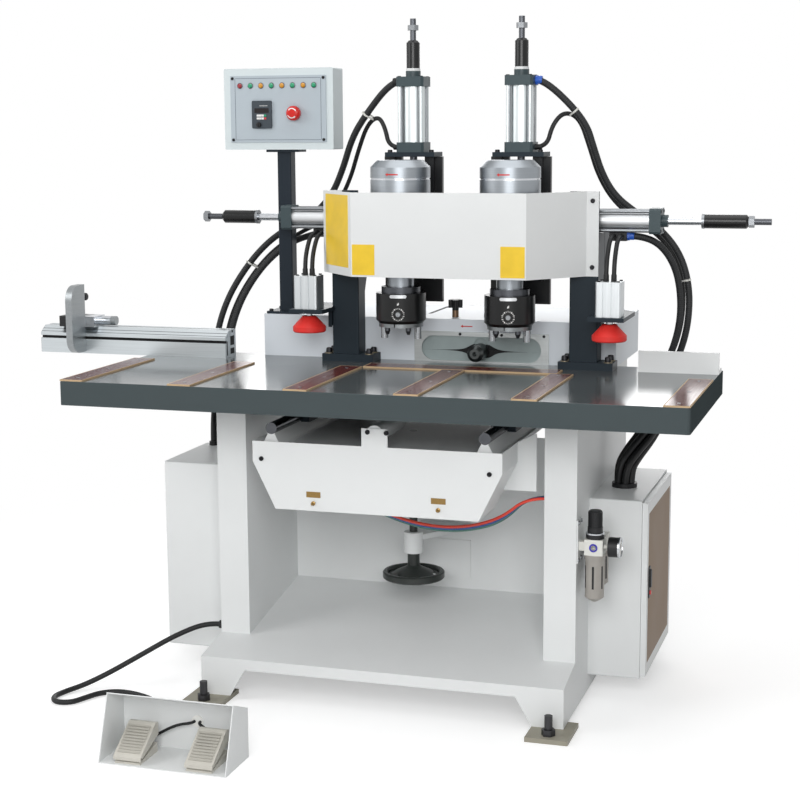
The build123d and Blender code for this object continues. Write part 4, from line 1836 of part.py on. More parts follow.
def make_heads():
    """Both boring heads with their carriages, cylinders, motors, gear casings and spindles."""
    cylinders = []
    for name, side, shift, sleeve, spare, nut_place in (
        ("left", -1, LEFT_SHIFT, LEFT_SLEEVE_LENGTH, LEFT_SLEEVE_SPARE, LEFT_NUT_PLACE),
        ("right", 1, RIGHT_SHIFT, RIGHT_SLEEVE_LENGTH, RIGHT_SLEEVE_SPARE, RIGHT_NUT_PLACE),
    ):
        make_carriage(name + "_carriage", side)
        make_feed(name + "_feed_cylinder", name + "_feed_rod", side)
        make_slide(name + "_head_slide", side)
        make_motor(name + "_motor", side)
        make_casing(name + "_gear_casing", side)
        spindles = (name + "_spindle_a", name + "_spindle_b")
        make_gears(name + "_drive_gear", spindles, side)
        cylinders.append(make_shift(name + "_shift_rod", side, shift, sleeve, spare, nut_place))
    node("shift_cylinders", *cylinders)
    node("clamp_cylinders", make_clamp("left_clamp_pad", -1), make_clamp("right_clamp_pad", 1))


make_plinth()
make_uprights()
make_back_wall()
make_feet()
make_cabinets()
make_table()
make_columns()
make_cover()
make_heads()
make_control()
make_housing()
make_spindle_unit()
make_saddle()
make_knee()
make_wheel()
make_fences()
make_service_unit()
make_foot_switch()
make_hoses()

# The origin goes to the floor under the middle of the machine's whole box.
boxes = [solid.bounding_box() for solids in parts.values() for solid in solids]
middle_x = (min(b.min.X for b in boxes) + max(b.max.X for b in boxes)) / 2
middle_y = (min(b.min.Y for b in boxes) + max(b.max.Y for b in boxes)) / 2
to_origin = Location((-middle_x, -middle_y, 0))

os.makedirs("parts", exist_ok=True)
for name, solids in parts.items():
    placed = [solid.moved(to_origin) for solid in solids]
    shape = placed[0] if len(placed) == 1 else Compound(children=placed)
    export_step(shape, f"parts/{name}.step")
print("nodes", len(parts), "origin shift", round(middle_x, 3), round(middle_y, 3))
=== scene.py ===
from math import acos, cos, pi, radians, sin, tau

import bmesh
import bpy
from mathutils import Matrix, Vector


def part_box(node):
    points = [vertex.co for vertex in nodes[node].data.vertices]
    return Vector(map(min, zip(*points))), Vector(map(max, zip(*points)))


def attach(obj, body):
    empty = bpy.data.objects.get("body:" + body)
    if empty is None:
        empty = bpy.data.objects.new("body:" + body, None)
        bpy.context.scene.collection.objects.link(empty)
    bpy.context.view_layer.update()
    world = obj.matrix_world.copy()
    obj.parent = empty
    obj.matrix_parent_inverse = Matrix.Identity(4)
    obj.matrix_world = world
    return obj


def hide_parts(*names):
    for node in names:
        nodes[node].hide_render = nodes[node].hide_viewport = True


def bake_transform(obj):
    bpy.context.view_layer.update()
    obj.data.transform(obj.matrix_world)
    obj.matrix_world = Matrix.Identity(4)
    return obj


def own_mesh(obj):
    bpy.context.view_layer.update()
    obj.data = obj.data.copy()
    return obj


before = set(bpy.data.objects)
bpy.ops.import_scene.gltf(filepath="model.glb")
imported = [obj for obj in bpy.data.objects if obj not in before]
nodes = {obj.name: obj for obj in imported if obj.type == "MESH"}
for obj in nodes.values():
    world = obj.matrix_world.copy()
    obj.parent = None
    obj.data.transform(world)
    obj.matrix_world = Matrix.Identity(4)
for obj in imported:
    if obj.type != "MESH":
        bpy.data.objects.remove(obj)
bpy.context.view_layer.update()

# Places are in millimetres from the floor under the middle of the table's front edge.
MM = 0.001
table_low, table_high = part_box("table_top")
MIDDLE_X = (table_low.x + table_high.x) / 2
FRONT_Y = table_low.y

# Directions
FRONT = (0, -1, 0)
BACK = (0, 1, 0)
UP = (0, 0, 1)
RIGHT = (1, 0, 0)

# Camera
CAMERA_PLACE = (1292.5, -3765.4, 1469.0)
CAMERA_AZIMUTH = radians(17.432)
CAMERA_ELEVATION = radians(9.198)
CAMERA_ROLL = radians(-0.35)
LENS = 75.37

# Table, apron, pedals and air service unit
TABLE_TOP = 840.0
STRIP_TOP = 844.0
STRIP_CENTRES = (-768, -469, -160, 123, 412, 768)
APRON_Y = 120.0
PEDAL_X = {"left": -443.0, "right": -261.0}
SERVICE = (536.0, 262.0)
GAUGE_Z = 438

# Boring heads, their cylinders and the work clamps
HEAD_X = {"left": -34.5, "right": 262.5}
OUTWARD = {"left": -1, "right": 1}
HEAD_Y = 476.0
MOTOR_RADIUS = 79.0
CASING_RADIUS = 66.5
COVER_FRONT_Y = 390.0
FEED_Y = 597.0
FEED_BARREL = (1433, 1580)
FEED_TOP = 1606
SHIFT_Y = 600.5
SHIFT_Z = 1229.0
SHIFT_BARREL = {"right": (450, 608), "left": (-380, -222)}
SHIFT_CAP = 30
CLAMP_X = {"left": -297.0, "right": 525.0}
CLAMP_Y = 480.0
CLAMP_TOP = 1080

# Control box
BOX_X = -432.0
PANEL_Y = 617.0
PANEL_Z = 1525
LAMP_COUNT = 8
LAMP_PITCH = 31.2
LAMP_ROW_X = BOX_X - 2.5
LAMP_Z = 1589

# Horizontal spindle and its window
WINDOW_X = 152.0
SPINDLE_Z = 872.0

# Hose and cable diameters and routes, as chosen for the machine
THICK_HOSE = 18
THIN_HOSE = 12
CONDUIT_STRAND = 19
AIR_TUBE = 8
PEDAL_CABLE_DIAMETER = 14
PEDAL_LEAD = 7
PORT_Z = 1593.0
LOW_PORT_Z = 1420.0
CONDUIT_TOP = 790.0
MANIFOLD_Z = 1189.5
CABINET_GLAND_Z = 588.0
CABLE_FLOOR_Z = 7.3
HEAD_HOSES = {
    "right": [
        (300.5, FEED_Y, PORT_Z), (326.5, FEED_Y, PORT_Z), (428, 621, 1489), (450, 636, 1412),
        (470, 650, 1346), (502, 664, 1290), (555, 674, 1247), (622, 678, 1204), (677, 675, 1138),
        (703, 670, 1050), (702, 665, 955), (680, 672, 872), (653, 680, 822), (653, 680, CONDUIT_TOP),
    ],
    "left": [
        (-72.5, FEED_Y, PORT_Z), (-98.5, FEED_Y, PORT_Z), (-188, 626, 1496), (-226, 640, 1440),
        (-258, 658, 1360), (-300, 682, 1286), (-362, 703, 1230), (-440, 712, 1196), (-514, 711, 1146),
        (-578, 703, 1072), (-630, 693, 985), (-660, 684, 890), (-666, 674, 790), (-655, 650, 700),
        (-634, 585, 640), (-634, 585, CABINET_GLAND_Z),
    ],
}
THIN_HOSES = {
    "right": [
        (300.5, FEED_Y, LOW_PORT_Z), (331.5, FEED_Y, LOW_PORT_Z), (344, 602, 1476), (372, 620, 1512),
        (410, 641, 1494), (434, 655, 1418), (455, 670, 1344), (494, 684, 1276), (556, 694, 1224),
        (622, 699, 1180), (668, 697, 1116), (685, 693, 1036), (682, 688, 952), (660, 690, 874),
        (630, 692, 826), (630, 692, CONDUIT_TOP),
    ],
    "left": [
        (-72.5, FEED_Y, LOW_PORT_Z), (-103.5, FEED_Y, LOW_PORT_Z), (-116, 602, 1472), (-142, 624, 1504),
        (-182, 648, 1482), (-216, 668, 1410), (-246, 688, 1334), (-290, 708, 1262), (-350, 726, 1208),
        (-430, 738, 1172), (-504, 737, 1124), (-564, 728, 1056), (-612, 716, 974), (-640, 706, 886),
        (-646, 694, 792), (-634, 668, 710), (-614, 607, 642), (-614, 607, CABINET_GLAND_Z),
    ],
}
# Two points of a head hose's route, its first and last point of bending
BEND_START = 1
BEND_END = 7
TIES = {"right": ((399, 630, 1510), (703, 672, 1076)), "left": ((-161, 616, 1501), (-561, 705, 1092))}
LOOPS = {
    "right": [
        (548, SHIFT_Y, MANIFOLD_Z), (584, SHIFT_Y, MANIFOLD_Z), (632, 616, 1168), (668, 634, 1112),
        (683, 645, 1040), (682, 652, 958), (660, 660, 876), (629, 666, 824), (629, 666, CONDUIT_TOP),
    ],
    "left": [
        (-297, 618.5, MANIFOLD_Z), (-297, 654.5, MANIFOLD_Z), (-322, 690, 1184), (-372, 708, 1174),
        (-432, 713, 1154), (-486, 710, 1118), (-538, 700, 1062), (-588, 690, 980), (-616, 680, 890),
        (-622, 668, 795), (-612, 644, 700), (-594, 585, 640), (-594, 585, CABINET_GLAND_Z),
    ],
}
CONDUIT = [
    (641, 673, CONDUIT_TOP), (641, 673, 744), (610, 634, 668), (566, 577, 604), (556, 565, 575),
    (556, 565, 540),
]
PEDAL_CABLE = [
    (-482, 252, 153), (-522, 252, 153), (-592, 208, 126), (-664, 158, 84), (-736, 106, 42), (-794, 64, 14),
    (-828, 20, CABLE_FLOOR_Z), (-838, -28, CABLE_FLOOR_Z), (-812, -64, CABLE_FLOOR_Z),
    (-770, -54, CABLE_FLOOR_Z), (-752, -8, CABLE_FLOOR_Z), (-732, 38, CABLE_FLOOR_Z),
    (-684, 62, CABLE_FLOOR_Z), (-612, 46, CABLE_FLOOR_Z), (-545, 2, CABLE_FLOOR_Z),
    (-484, -55, CABLE_FLOOR_Z), (-424, -112, CABLE_FLOOR_Z), (-370, -160, 18), (-330, -192, 48),
    (-318, -217.5, 76), (-318, -257.5, 76),
]


def spot(x, y, z):
    """A place in metres from the machine's millimetres."""
    return Vector((MIDDLE_X + x * MM, FRONT_Y + y * MM, z * MM))


def four_corners(across, deep):
    """The corners of a rectangle about the origin."""
    return [(sx * across, sy * deep) for sx in (-1, 1) for sy in (-1, 1)]


def place_camera():
    """The photograph's view: from the right, a little above the table."""
    back = Vector((
        sin(CAMERA_AZIMUTH) * cos(CAMERA_ELEVATION),
        -cos(CAMERA_AZIMUTH) * cos(CAMERA_ELEVATION),
        sin(CAMERA_ELEVATION),
    ))
    level = Vector((cos(CAMERA_AZIMUTH), sin(CAMERA_AZIMUTH), 0))
    above = back.cross(level)
    right = level * cos(CAMERA_ROLL) + above * sin(CAMERA_ROLL)
    up = above * cos(CAMERA_ROLL) - level * sin(CAMERA_ROLL)
    data = bpy.data.cameras.new("camera")
    data.lens = LENS
    camera = bpy.data.objects.new("camera", data)
    turn = Matrix((right, up, back)).transposed().to_4x4()
    camera.matrix_world = Matrix.Translation(spot(*CAMERA_PLACE)) @ turn
    bpy.context.scene.collection.objects.link(camera)
    bpy.context.scene.camera = camera


# Materials


class Flow:
    """A socket in a material's nodes, with maths written as expressions."""

    def __init__(self, finish, socket):
        self.finish = finish
        self.socket = socket

    def maths(self, operation, *values):
        return self.finish.add("ShaderNodeMath", {"operation": operation}, dict(enumerate(values)))

    def __add__(self, other):
        return self.maths("ADD", self, other)

    def __sub__(self, other):
        return self.maths("SUBTRACT", self, other)

    def __rsub__(self, other):
        return self.maths("SUBTRACT", other, self)

    def __mul__(self, other):
        return self.maths("MULTIPLY", self, other)

    def __truediv__(self, other):
        return self.maths("DIVIDE", self, other)

    def __rtruediv__(self, other):
        return self.maths("DIVIDE", other, self)

    def __gt__(self, other):
        return self.maths("GREATER_THAN", self, other)

    def __lt__(self, other):
        return self.maths("LESS_THAN", self, other)

    __radd__ = __add__
    __rmul__ = __mul__

    def either(self, other):
        return self.maths("MAXIMUM", self, other)

    def sine(self):
        return self.maths("SINE", self)


class Finish:
    """A material under construction. Any node comes from add(), which sets and links its sockets."""

    def __init__(self, name, tree=None):
        if tree is None:
            self.material = bpy.data.materials.new(name)
            self.material.use_nodes = True
            tree = self.material.node_tree
        self.tree = tree
        tree.nodes.clear()

    def add(self, kind, settings=None, inputs=None, output=0):
        node = self.tree.nodes.new(kind)
        for key, value in (settings or {}).items():
            if key == "stops":
                self.set_stops(node.color_ramp, value)
            else:
                setattr(node, key, value)
        for key, value in (inputs or {}).items():
            self.feed(node.inputs[key], value)
        return Flow(self, node.outputs[output]) if len(node.outputs) else node

    def feed(self, socket, value):
        if isinstance(value, Flow):
            self.tree.links.new(value.socket, socket)
        elif socket.type == "RGBA":
            socket.default_value = (*value[:3], 1.0)
        else:
            socket.default_value = value

    def set_stops(self, ramp, stops):
        ramp.interpolation = "CONSTANT"
        while len(ramp.elements) < len(stops):
            ramp.elements.new(1.0)
        for element, (place, colour) in zip(ramp.elements, stops):
            element.position = place
            element.color = (*colour, 1.0)

    def place(self):
        return self.add("ShaderNodeTexCoord", output="Object")

    def along(self, axis):
        return self.add("ShaderNodeSeparateXYZ", inputs={0: self.place()}, output="XYZ".index(axis))

    def band(self, axis, low, high):
        """One between two of the machine's millimetre places along an axis, and nothing outside."""
        start, end = spot(low, low, low), spot(high, high, high)
        index = "XYZ".index(axis)
        value = self.along(axis)
        return (value > start[index]) * (value < end[index])

    def noise(self, scale, detail=3.0, grain=None):
        where = self.place()
        if grain:
            where = self.add("ShaderNodeMapping", inputs={"Vector": where, "Scale": grain})
        return self.add("ShaderNodeTexNoise", inputs={"Vector": where, "Scale": scale, "Detail": detail})

    def mix(self, share, first, second):
        return self.add("ShaderNodeMix", {"data_type": "RGBA"}, {0: share, 6: first, 7: second}, 2)

    def bump(self, height, strength, depth):
        return self.add("ShaderNodeBump", inputs={"Height": height, "Strength": strength, "Distance": depth})

    def shader(self, **sockets):
        named = {key.replace("_", " "): value for key, value in sockets.items()}
        return self.add("ShaderNodeBsdfPrincipled", inputs=named)

    def close(self, surface):
        self.add("ShaderNodeOutputMaterial", inputs={"Surface": surface})
        return self.material


def tone(red, green, blue):
    """A colour as it is seen on a screen, in the units that light is added in."""
    def linear(value):
        share = value / 255
        return share / 12.92 if share <= 0.04045 else ((share + 0.055) / 1.055) ** 2.4
    return tuple(linear(value) for value in (red, green, blue))


def shade(colour, share):
    return tuple(min(value * share, 1.0) for value in colour)


def grained(axis, along, across):
    """How finely a metal's lines repeat along an axis and across it."""
    return tuple(along if letter == axis else across for letter in "XYZ")


def even_grain(fineness):
    """A metal's grain without a direction."""
    return (fineness, fineness, fineness)


def paint(colour, roughness=0.4, clouds=0.04, peel=0.05, shine=0.35):
    """Sprayed paint with faint clouds in colour and gloss, and a fine orange peel."""
    def coat(finish):
        cloud = finish.noise(6.0, 5.0)
        return finish.shader(
            Base_Color=finish.mix(cloud, shade(colour, 1 - clouds), shade(colour, 1 + clouds)),
            Roughness=cloud * 0.16 + (roughness - 0.08),
            Normal=finish.bump(finish.noise(420.0, 2.0), peel, 0.0004),
            Specular_IOR_Level=shine,
        )
    return coat


def polished(colour):
    """Ground and waxed cast iron: a dark sheen with faint cloudy stains."""
    def coat(finish):
        stain = finish.noise(5.0, 6.0)
        return finish.shader(
            Base_Color=finish.mix(stain, shade(colour, 0.82), shade(colour, 1.18)),
            Metallic=0.2,
            Roughness=stain * 0.18 + 0.06,
            Normal=finish.bump(finish.noise(60.0, 3.0), 0.02, 0.0004),
            Specular_IOR_Level=0.6,
        )
    return coat


def metal(colour, roughness, grain, scratch=0.12):
    """Bare metal with fine lines. The grain squeezes the pattern across the lines."""
    def coat(finish):
        lines = finish.noise(1.0, 4.0, grain)
        smudge = finish.noise(14.0, 4.0)
        return finish.shader(
            Base_Color=finish.mix(lines, shade(colour, 0.78), shade(colour, 1.12)),
            Metallic=1.0,
            Roughness=lines * 0.16 + smudge * 0.14 + (roughness - 0.15),
            Normal=finish.bump(lines, scratch, 0.0002),
        )
    return coat


def plastic(colour, roughness=0.45, grain=900.0, depth=0.1, shine=0.35):
    """Moulded plastic or rubber with a fine leathery grain."""
    def coat(finish):
        cloud = finish.noise(25.0, 3.0)
        return finish.shader(
            Base_Color=finish.mix(cloud, shade(colour, 0.86), shade(colour, 1.14)),
            Roughness=cloud * 0.2 + (roughness - 0.1),
            Normal=finish.bump(finish.noise(grain, 2.0), depth, 0.0003),
            Specular_IOR_Level=shine,
        )
    return coat


def laminate(colour, fibre):
    """Pressed phenolic strip: glossy skin with a faint streaked paper grain along its length."""
    def coat(finish):
        streak = finish.noise(1.0, 5.0, grained("Y", 9.0, 160.0))
        return finish.shader(
            Base_Color=finish.mix(streak, colour, fibre),
            Roughness=streak * 0.2 + 0.1,
            Normal=finish.bump(streak, 0.06, 0.0003),
            Specular_IOR_Level=0.3,
        )
    return coat


def braid(colour, sheen_and_dust_tone, turns, pitch):
    """Woven sleeve on a hose: two sets of strands cross along the hose's own map."""
    def coat(finish):
        chart = finish.add("ShaderNodeUVMap", {"uv_map": "route"})
        around = finish.add("ShaderNodeSeparateXYZ", inputs={0: chart}) * (tau * turns)
        length = finish.add("ShaderNodeSeparateXYZ", inputs={0: chart}, output=1) * (tau / pitch)
        weave = (around + length).sine() * (around - length).sine()
        raised = weave * 0.5 + 0.5
        dust = finish.noise(30.0, 4.0)
        return finish.shader(
            # The raised strands take the lighter tone and the hollows between them the darker one: a painted
            # highlight on the strands and painted shade between them, broken up by a dust noise.
            Base_Color=finish.mix(raised * dust, colour, sheen_and_dust_tone),
            Roughness=0.62 - raised * 0.2,
            Normal=finish.bump(raised, 0.45, 0.0008),
            Specular_IOR_Level=0.3,
        )
    return coat


def tubing(colour):
    """Smooth polyurethane air tube, a little cloudy."""
    def coat(finish):
        cloud = finish.noise(40.0, 3.0)
        return finish.shader(
            Base_Color=finish.mix(cloud, shade(colour, 0.8), shade(colour, 1.15)),
            Roughness=cloud * 0.15 + 0.25,
            Coat_Weight=0.3,
            Coat_Roughness=0.15,
        )
    return coat


def lamp_glass(colours):
    """A row of lamp lenses, each in its own colour and faintly lit."""
    start = spot(LAMP_ROW_X - LAMP_COUNT / 2 * LAMP_PITCH, 0, 0).x
    width = LAMP_COUNT * LAMP_PITCH * MM

    def coat(finish):
        share = (finish.along("X") - start) / width
        stops = [(i / LAMP_COUNT, colour) for i, colour in enumerate(colours)]
        row = finish.add("ShaderNodeValToRGB", {"stops": stops}, {0: share})
        facets = finish.noise(400.0, 1.0)
        return finish.shader(
            Base_Color=row,
            Roughness=facets * 0.1 + 0.08,
            Emission_Color=row,
            Emission_Strength=0.06,
            Coat_Weight=0.6,
        )
    return coat


def material(name, base, *regions):
    """A material of one coat, and of further coats on the regions that their masks cover."""
    finish = Finish(name)
    surface = base(finish)
    for mask, coat in regions:
        surface = finish.add("ShaderNodeMixShader", inputs={0: mask(finish), 1: surface, 2: coat(finish)})
    return finish.close(surface)


def dress(name, parts, base, *regions):
    """Give nodes of the frame a material of one or more coats."""
    finish = material(name, base, *regions)
    for part in parts:
        for slot in nodes[part].material_slots:
            slot.material = finish


def bands(axis, *spans):
    """A mask of one or more bands along an axis."""
    def mask(finish):
        result = finish.band(axis, *spans[0])
        for span in spans[1:]:
            result = result.either(finish.band(axis, *span))
        return result
    return mask


def boxes(*corners):
    """A mask of boxes, each given by its low and high corners."""
    def mask(finish):
        result = None
        for low, high in corners:
            inside = finish.band("X", low[0], high[0]) * finish.band("Y", low[1], high[1])
            inside = inside * finish.band("Z", low[2], high[2])
            result = inside if result is None else result.either(inside)
        return result
    return mask


def shell(axis, centre, radius, span):
    """A mask of what lies outside a radius about an axis, within a band along it."""
    def mask(finish):
        others = [letter for letter in "XYZ" if letter != axis]
        origin = spot(*centre)
        offsets = [finish.along(letter) - origin["XYZ".index(letter)] for letter in others]
        reach = offsets[0] * offsets[0] + offsets[1] * offsets[1]
        return (reach > (radius * MM) ** 2) * finish.band(axis, *span)
    return mask


def between_seams(span):
    """A span that stops just short of the seams at its ends."""
    seam = 0.2
    return span[0] + seam, span[1] - seam


# Colours
WHITE = tone(226, 228, 228)
PALE_WHITE = tone(236, 236, 234)
SLATE = tone(38, 47, 54)
BLACK = tone(24, 25, 27)
INK = tone(18, 19, 20)
STEEL = tone(142, 145, 148)
DARK_STEEL = tone(84, 86, 90)
CHROME = tone(200, 203, 207)
RED = tone(200, 40, 36)
LAMP_RED = tone(150, 26, 34)
LAMP_GREEN = tone(24, 150, 104)
LAMP_AMBER = tone(206, 142, 30)
TUBE_COLOURS = (tone(222, 60, 38), tone(36, 84, 150), tone(70, 120, 106))

# Paints
white_paint = paint(WHITE, shine=0.2)
housing_paint = paint(tone(216, 222, 228))
box_paint = paint(tone(210, 219, 221), roughness=0.42, shine=0.2)
panel_paint = paint(tone(178, 188, 195), roughness=0.4, shine=0.2)
service_paint = paint(tone(222, 222, 216), roughness=0.45)
# Dark brown door panel: partly its own tone, partly painted shade and reflection on a side that faces away
# from the lamps.
door_brown_and_shade = paint(tone(122, 98, 72), roughness=0.5, clouds=0.1, shine=0.2)
foot_khaki = paint(tone(150, 146, 132), roughness=0.5, clouds=0.1)
slate_paint = paint(SLATE, roughness=0.42, clouds=0.07, shine=0.15)
post_paint = paint(tone(34, 42, 50), roughness=0.42, clouds=0.07, shine=0.15)
cap_paint = paint(tone(56, 70, 74), roughness=0.4, clouds=0.07)
table_paint = paint(tone(74, 82, 84), roughness=0.55, clouds=0.06, peel=0.12, shine=0.0)
motor_paint = paint(tone(120, 126, 130), roughness=0.4)
wheel_paint = paint(tone(44, 48, 46), roughness=0.32, clouds=0.1, peel=0.1)
black_paint = paint(BLACK, roughness=0.36, clouds=0.1, shine=0.3)
casing_paint = paint(tone(15, 16, 17), roughness=0.3, clouds=0.1)

# Metals
chrome_plate = metal(CHROME, 0.22, even_grain(60.0), scratch=0.02)
rod_chrome = metal(CHROME, 0.2, grained("X", 2.0, 500.0), scratch=0.02)
groove_chrome = metal(CHROME, 0.24, grained("Z", 900.0, 6.0))
chuck_chrome = metal(tone(160, 163, 166), 0.2, even_grain(60.0), scratch=0.02)
bright_steel = metal(STEEL, 0.34, even_grain(500.0))
dark_steel = metal(DARK_STEEL, 0.34, even_grain(300.0))
foot_steel = metal(tone(70, 70, 72), 0.45, even_grain(200.0))
window_steel = metal(tone(176, 180, 180), 0.38, grained("X", 5.0, 500.0))
rail_steel = metal(tone(92, 94, 98), 0.24, grained("Y", 4.0, 40.0))
collet_steel = metal(tone(84, 88, 88), 0.34, grained("Y", 900.0, 30.0))
stop_steel = metal(tone(150, 154, 156), 0.36, grained("Y", 6.0, 300.0))
plate_steel = metal(tone(132, 136, 138), 0.36, grained("X", 6.0, 400.0))
black_steel = metal(tone(46, 46, 48), 0.4, even_grain(300.0))
washer_steel = metal(tone(150, 140, 120), 0.42, even_grain(300.0))
polished_iron = polished(tone(88, 93, 94))
drawn_rail = metal(tone(204, 210, 213), 0.36, grained("X", 6.0, 900.0))
feed_tube = metal(tone(204, 210, 211), 0.4, grained("Z", 6.0, 700.0))
shift_tube = metal(tone(206, 208, 210), 0.4, grained("X", 6.0, 700.0))
clamp_aluminium = metal(tone(202, 206, 208), 0.44, grained("Z", 6.0, 700.0))
turned_aluminium = metal(tone(150, 155, 160), 0.34, grained("Z", 1400.0, 6.0))
plate_silver = metal(tone(206, 208, 210), 0.3, grained("X", 5.0, 300.0))
plate_brass = metal(tone(150, 122, 76), 0.34, even_grain(300.0))
stem_bronze = metal(tone(128, 104, 84), 0.36, even_grain(300.0))

# Plastics and rubbers
black_plastic = plastic(BLACK)
glossy_black = plastic(INK, roughness=0.26, grain=60.0, depth=0.01)
# Flat black standing for shade: painted shade in the housing's inside, in slots and openings, and behind the
# curtain.
painted_shade_black = plastic(INK, roughness=0.7)
timer_plastic = plastic(tone(56, 64, 71), roughness=0.4)
strip_edge = plastic(tone(186, 160, 126), roughness=0.6, shine=0.2)
strip_brown = laminate(tone(78, 28, 22), tone(102, 42, 32))
stop_red = plastic(tone(205, 38, 32), roughness=0.25, grain=200.0, depth=0.03)
pad_red = plastic(tone(226, 52, 46), roughness=0.5, grain=500.0, depth=0.2)
mark_red = plastic(RED, roughness=0.45, grain=300.0, depth=0.03)
plate_yellow = plastic(tone(236, 198, 52), roughness=0.4, grain=300.0, depth=0.03)
bowl_grey = plastic(tone(158, 154, 148), roughness=0.4)
pedal_beige = plastic(tone(196, 193, 184), roughness=0.42)
rib_beige = plastic(tone(172, 169, 160), roughness=0.5)
grommet_white = plastic(tone(232, 232, 228))
curtain_grey = plastic(tone(150, 162, 162), roughness=0.6, grain=350.0, depth=0.25)
# The second tone is painted highlight on the raised strands, mixed with dust.
hose_braid = braid(tone(20, 21, 22), tone(58, 60, 62), turns=9, pitch=0.011)
hose_rubber = plastic(tone(25, 26, 27), roughness=0.5, grain=600.0, shine=0.3)
tie_white = plastic(tone(214, 214, 208), roughness=0.4)
fitting_blue = plastic(tone(40, 92, 190), roughness=0.35)


def dress_sheet_metal():
    """White sheet metal with its inside painted black as shade and its cable collars, the door with a dark
    brown panel that is partly painted shade and reflection, and the foot plates.
    """
    upright_gland = ((-490, 230, 130), (-470.2, 275, 176))
    right_collar = ((520, 530, 528.3), (592, 600, 560))
    left_collar = ((-650, 565, 576.3), (-575, 625, 600))
    housing_inside = ((-476.7, 607.3, 839.9), (518.7, 957.7, 954.7))
    door_panel = ((643.8, 428, 92), (646, 788, 490))
    door_hinges = ((620, 804, 60), (660, 830, 540))
    foot_plates = (-5, 12.2)
    dress("white_sheet", ["base_plinth", "back_wall", "front_cover"], white_paint)
    # The housing's inside is painted flat black: painted shade behind the window.
    dress("white_housing", ["rear_housing"], housing_paint, (boxes(housing_inside), painted_shade_black))
    dress("white_upright", ["side_uprights"], white_paint, (boxes(upright_gland), black_plastic))
    dress("white_cabinet", ["side_cabinets"], white_paint, (boxes(right_collar, left_collar), black_plastic))
    dress("white_knee", ["knee"], white_paint)
    # The door's inset panel is dark brown: partly its own tone, partly painted shade and reflection.
    dress("bronze_door", ["cabinet_door"], white_paint,
          (boxes(door_panel), door_brown_and_shade), (boxes(door_hinges), bright_steel))
    dress("foot_plates", ["levelling_feet"], foot_steel, (bands("Z", foot_plates), foot_khaki))


def dress_table():
    """The table with its polished face, its wear strips, and the slate gantry and saddle."""
    table_face = (TABLE_TOP - 0.3, TABLE_TOP + 1)
    strip_half, strip_front, strip_back = 28.5, 5, 425
    strip_over = STRIP_TOP + 1
    cross_strip = ((-125, 433, TABLE_TOP), (397, 495, strip_over))
    strips = [
        ((x - strip_half, strip_front, TABLE_TOP), (x + strip_half, strip_back, strip_over))
        for x in STRIP_CENTRES
    ]
    dress("table_slate", ["table_top"], table_paint, (bands("Z", table_face), polished_iron))
    dress("wear_strips", ["table_strips"], strip_edge, (boxes(*strips, cross_strip), strip_brown))
    dress("gantry_slate", ["gantry_frame", "saddle"], slate_paint)


def dress_fences():
    """The slotted rail with its length stop, and the white plate fence."""
    left, right = -1140, -550
    end_low, end_high = -557.4, -556
    front_slot = ((left, 505.6, 880.8), (right, 513.2, 889.2))
    top_slot = ((left, 550.8, 906.8), (right, 559.2, 914.6))
    far_end = ((left, 500, 830), (-1131.6, 590, 920))
    end_openings = [
        ((end_low, 514, 846), (end_high, 521, 886)),
        ((end_low, 540, 848), (end_high, 568, 864)),
        ((end_low, 540, 872), (end_high, 568, 898)),
    ]
    groove_width, groove_low, groove_high = 1.6, 896, 916
    grooves = [
        ((left, y, groove_low), (right, y + groove_width, groove_high)) for y in (509, 519, 533, 544, 566)
    ]
    plate_fence = (500, 900)
    slider = ((-1080, 504.5, 900), (-1008.1, 580, 960))
    stop_barrel = ((-987.9, 504.5, 900), (-930, 580, 960))
    # The grooves are painted in darker steel, and the slots, the openings in the rail's right end and its far
    # end in flat black: painted shade in these recesses.
    dress("fence_rail", ["table_fences"], drawn_rail, (boxes(*grooves), dark_steel),
          (boxes(front_slot, top_slot, far_end, *end_openings), painted_shade_black),
          (bands("X", plate_fence), white_paint))
    dress("stop_plate", ["length_stop"], stop_steel, (boxes(slider), black_plastic),
          (boxes(stop_barrel), chrome_plate))


def dress_controls():
    """Control box, panel and lamps, the stop button and the turning knobs."""
    timer = (0, PANEL_Y - 0.1)
    star_stem = (900, 976)
    lens_colours = (LAMP_RED, LAMP_GREEN, *[LAMP_AMBER, LAMP_GREEN] * 3)
    dress("white_box", ["control_box"], box_paint)
    dress("post_slate", ["control_post"], post_paint)
    dress("panel_paint", ["control_panel"], panel_paint, (bands("Y", timer), timer_plastic))
    dress("lamp_lenses", ["indicator_lamps"], lamp_glass(lens_colours))
    dress("stop_button", ["emergency_stop"], stop_red)
    dress("knob_plastic", ["stop_knob", "regulator_knob"], black_plastic)
    dress("star_plastic", ["star_knob"], black_plastic, (bands("Z", star_stem), stem_bronze))


def dress_spindle():
    """The horizontal spindle, its window and rails, and the handwheel."""
    dress("window_steel", ["window_plate"], window_steel)
    dress("ground_rails", ["round_rails"], rail_steel)
    dress("spindle_motor", ["spindle_unit"], motor_paint)
    dress("collet_steel", ["collet_spindle"], collet_steel)
    dress("wheel_enamel", ["handwheel"], wheel_paint)


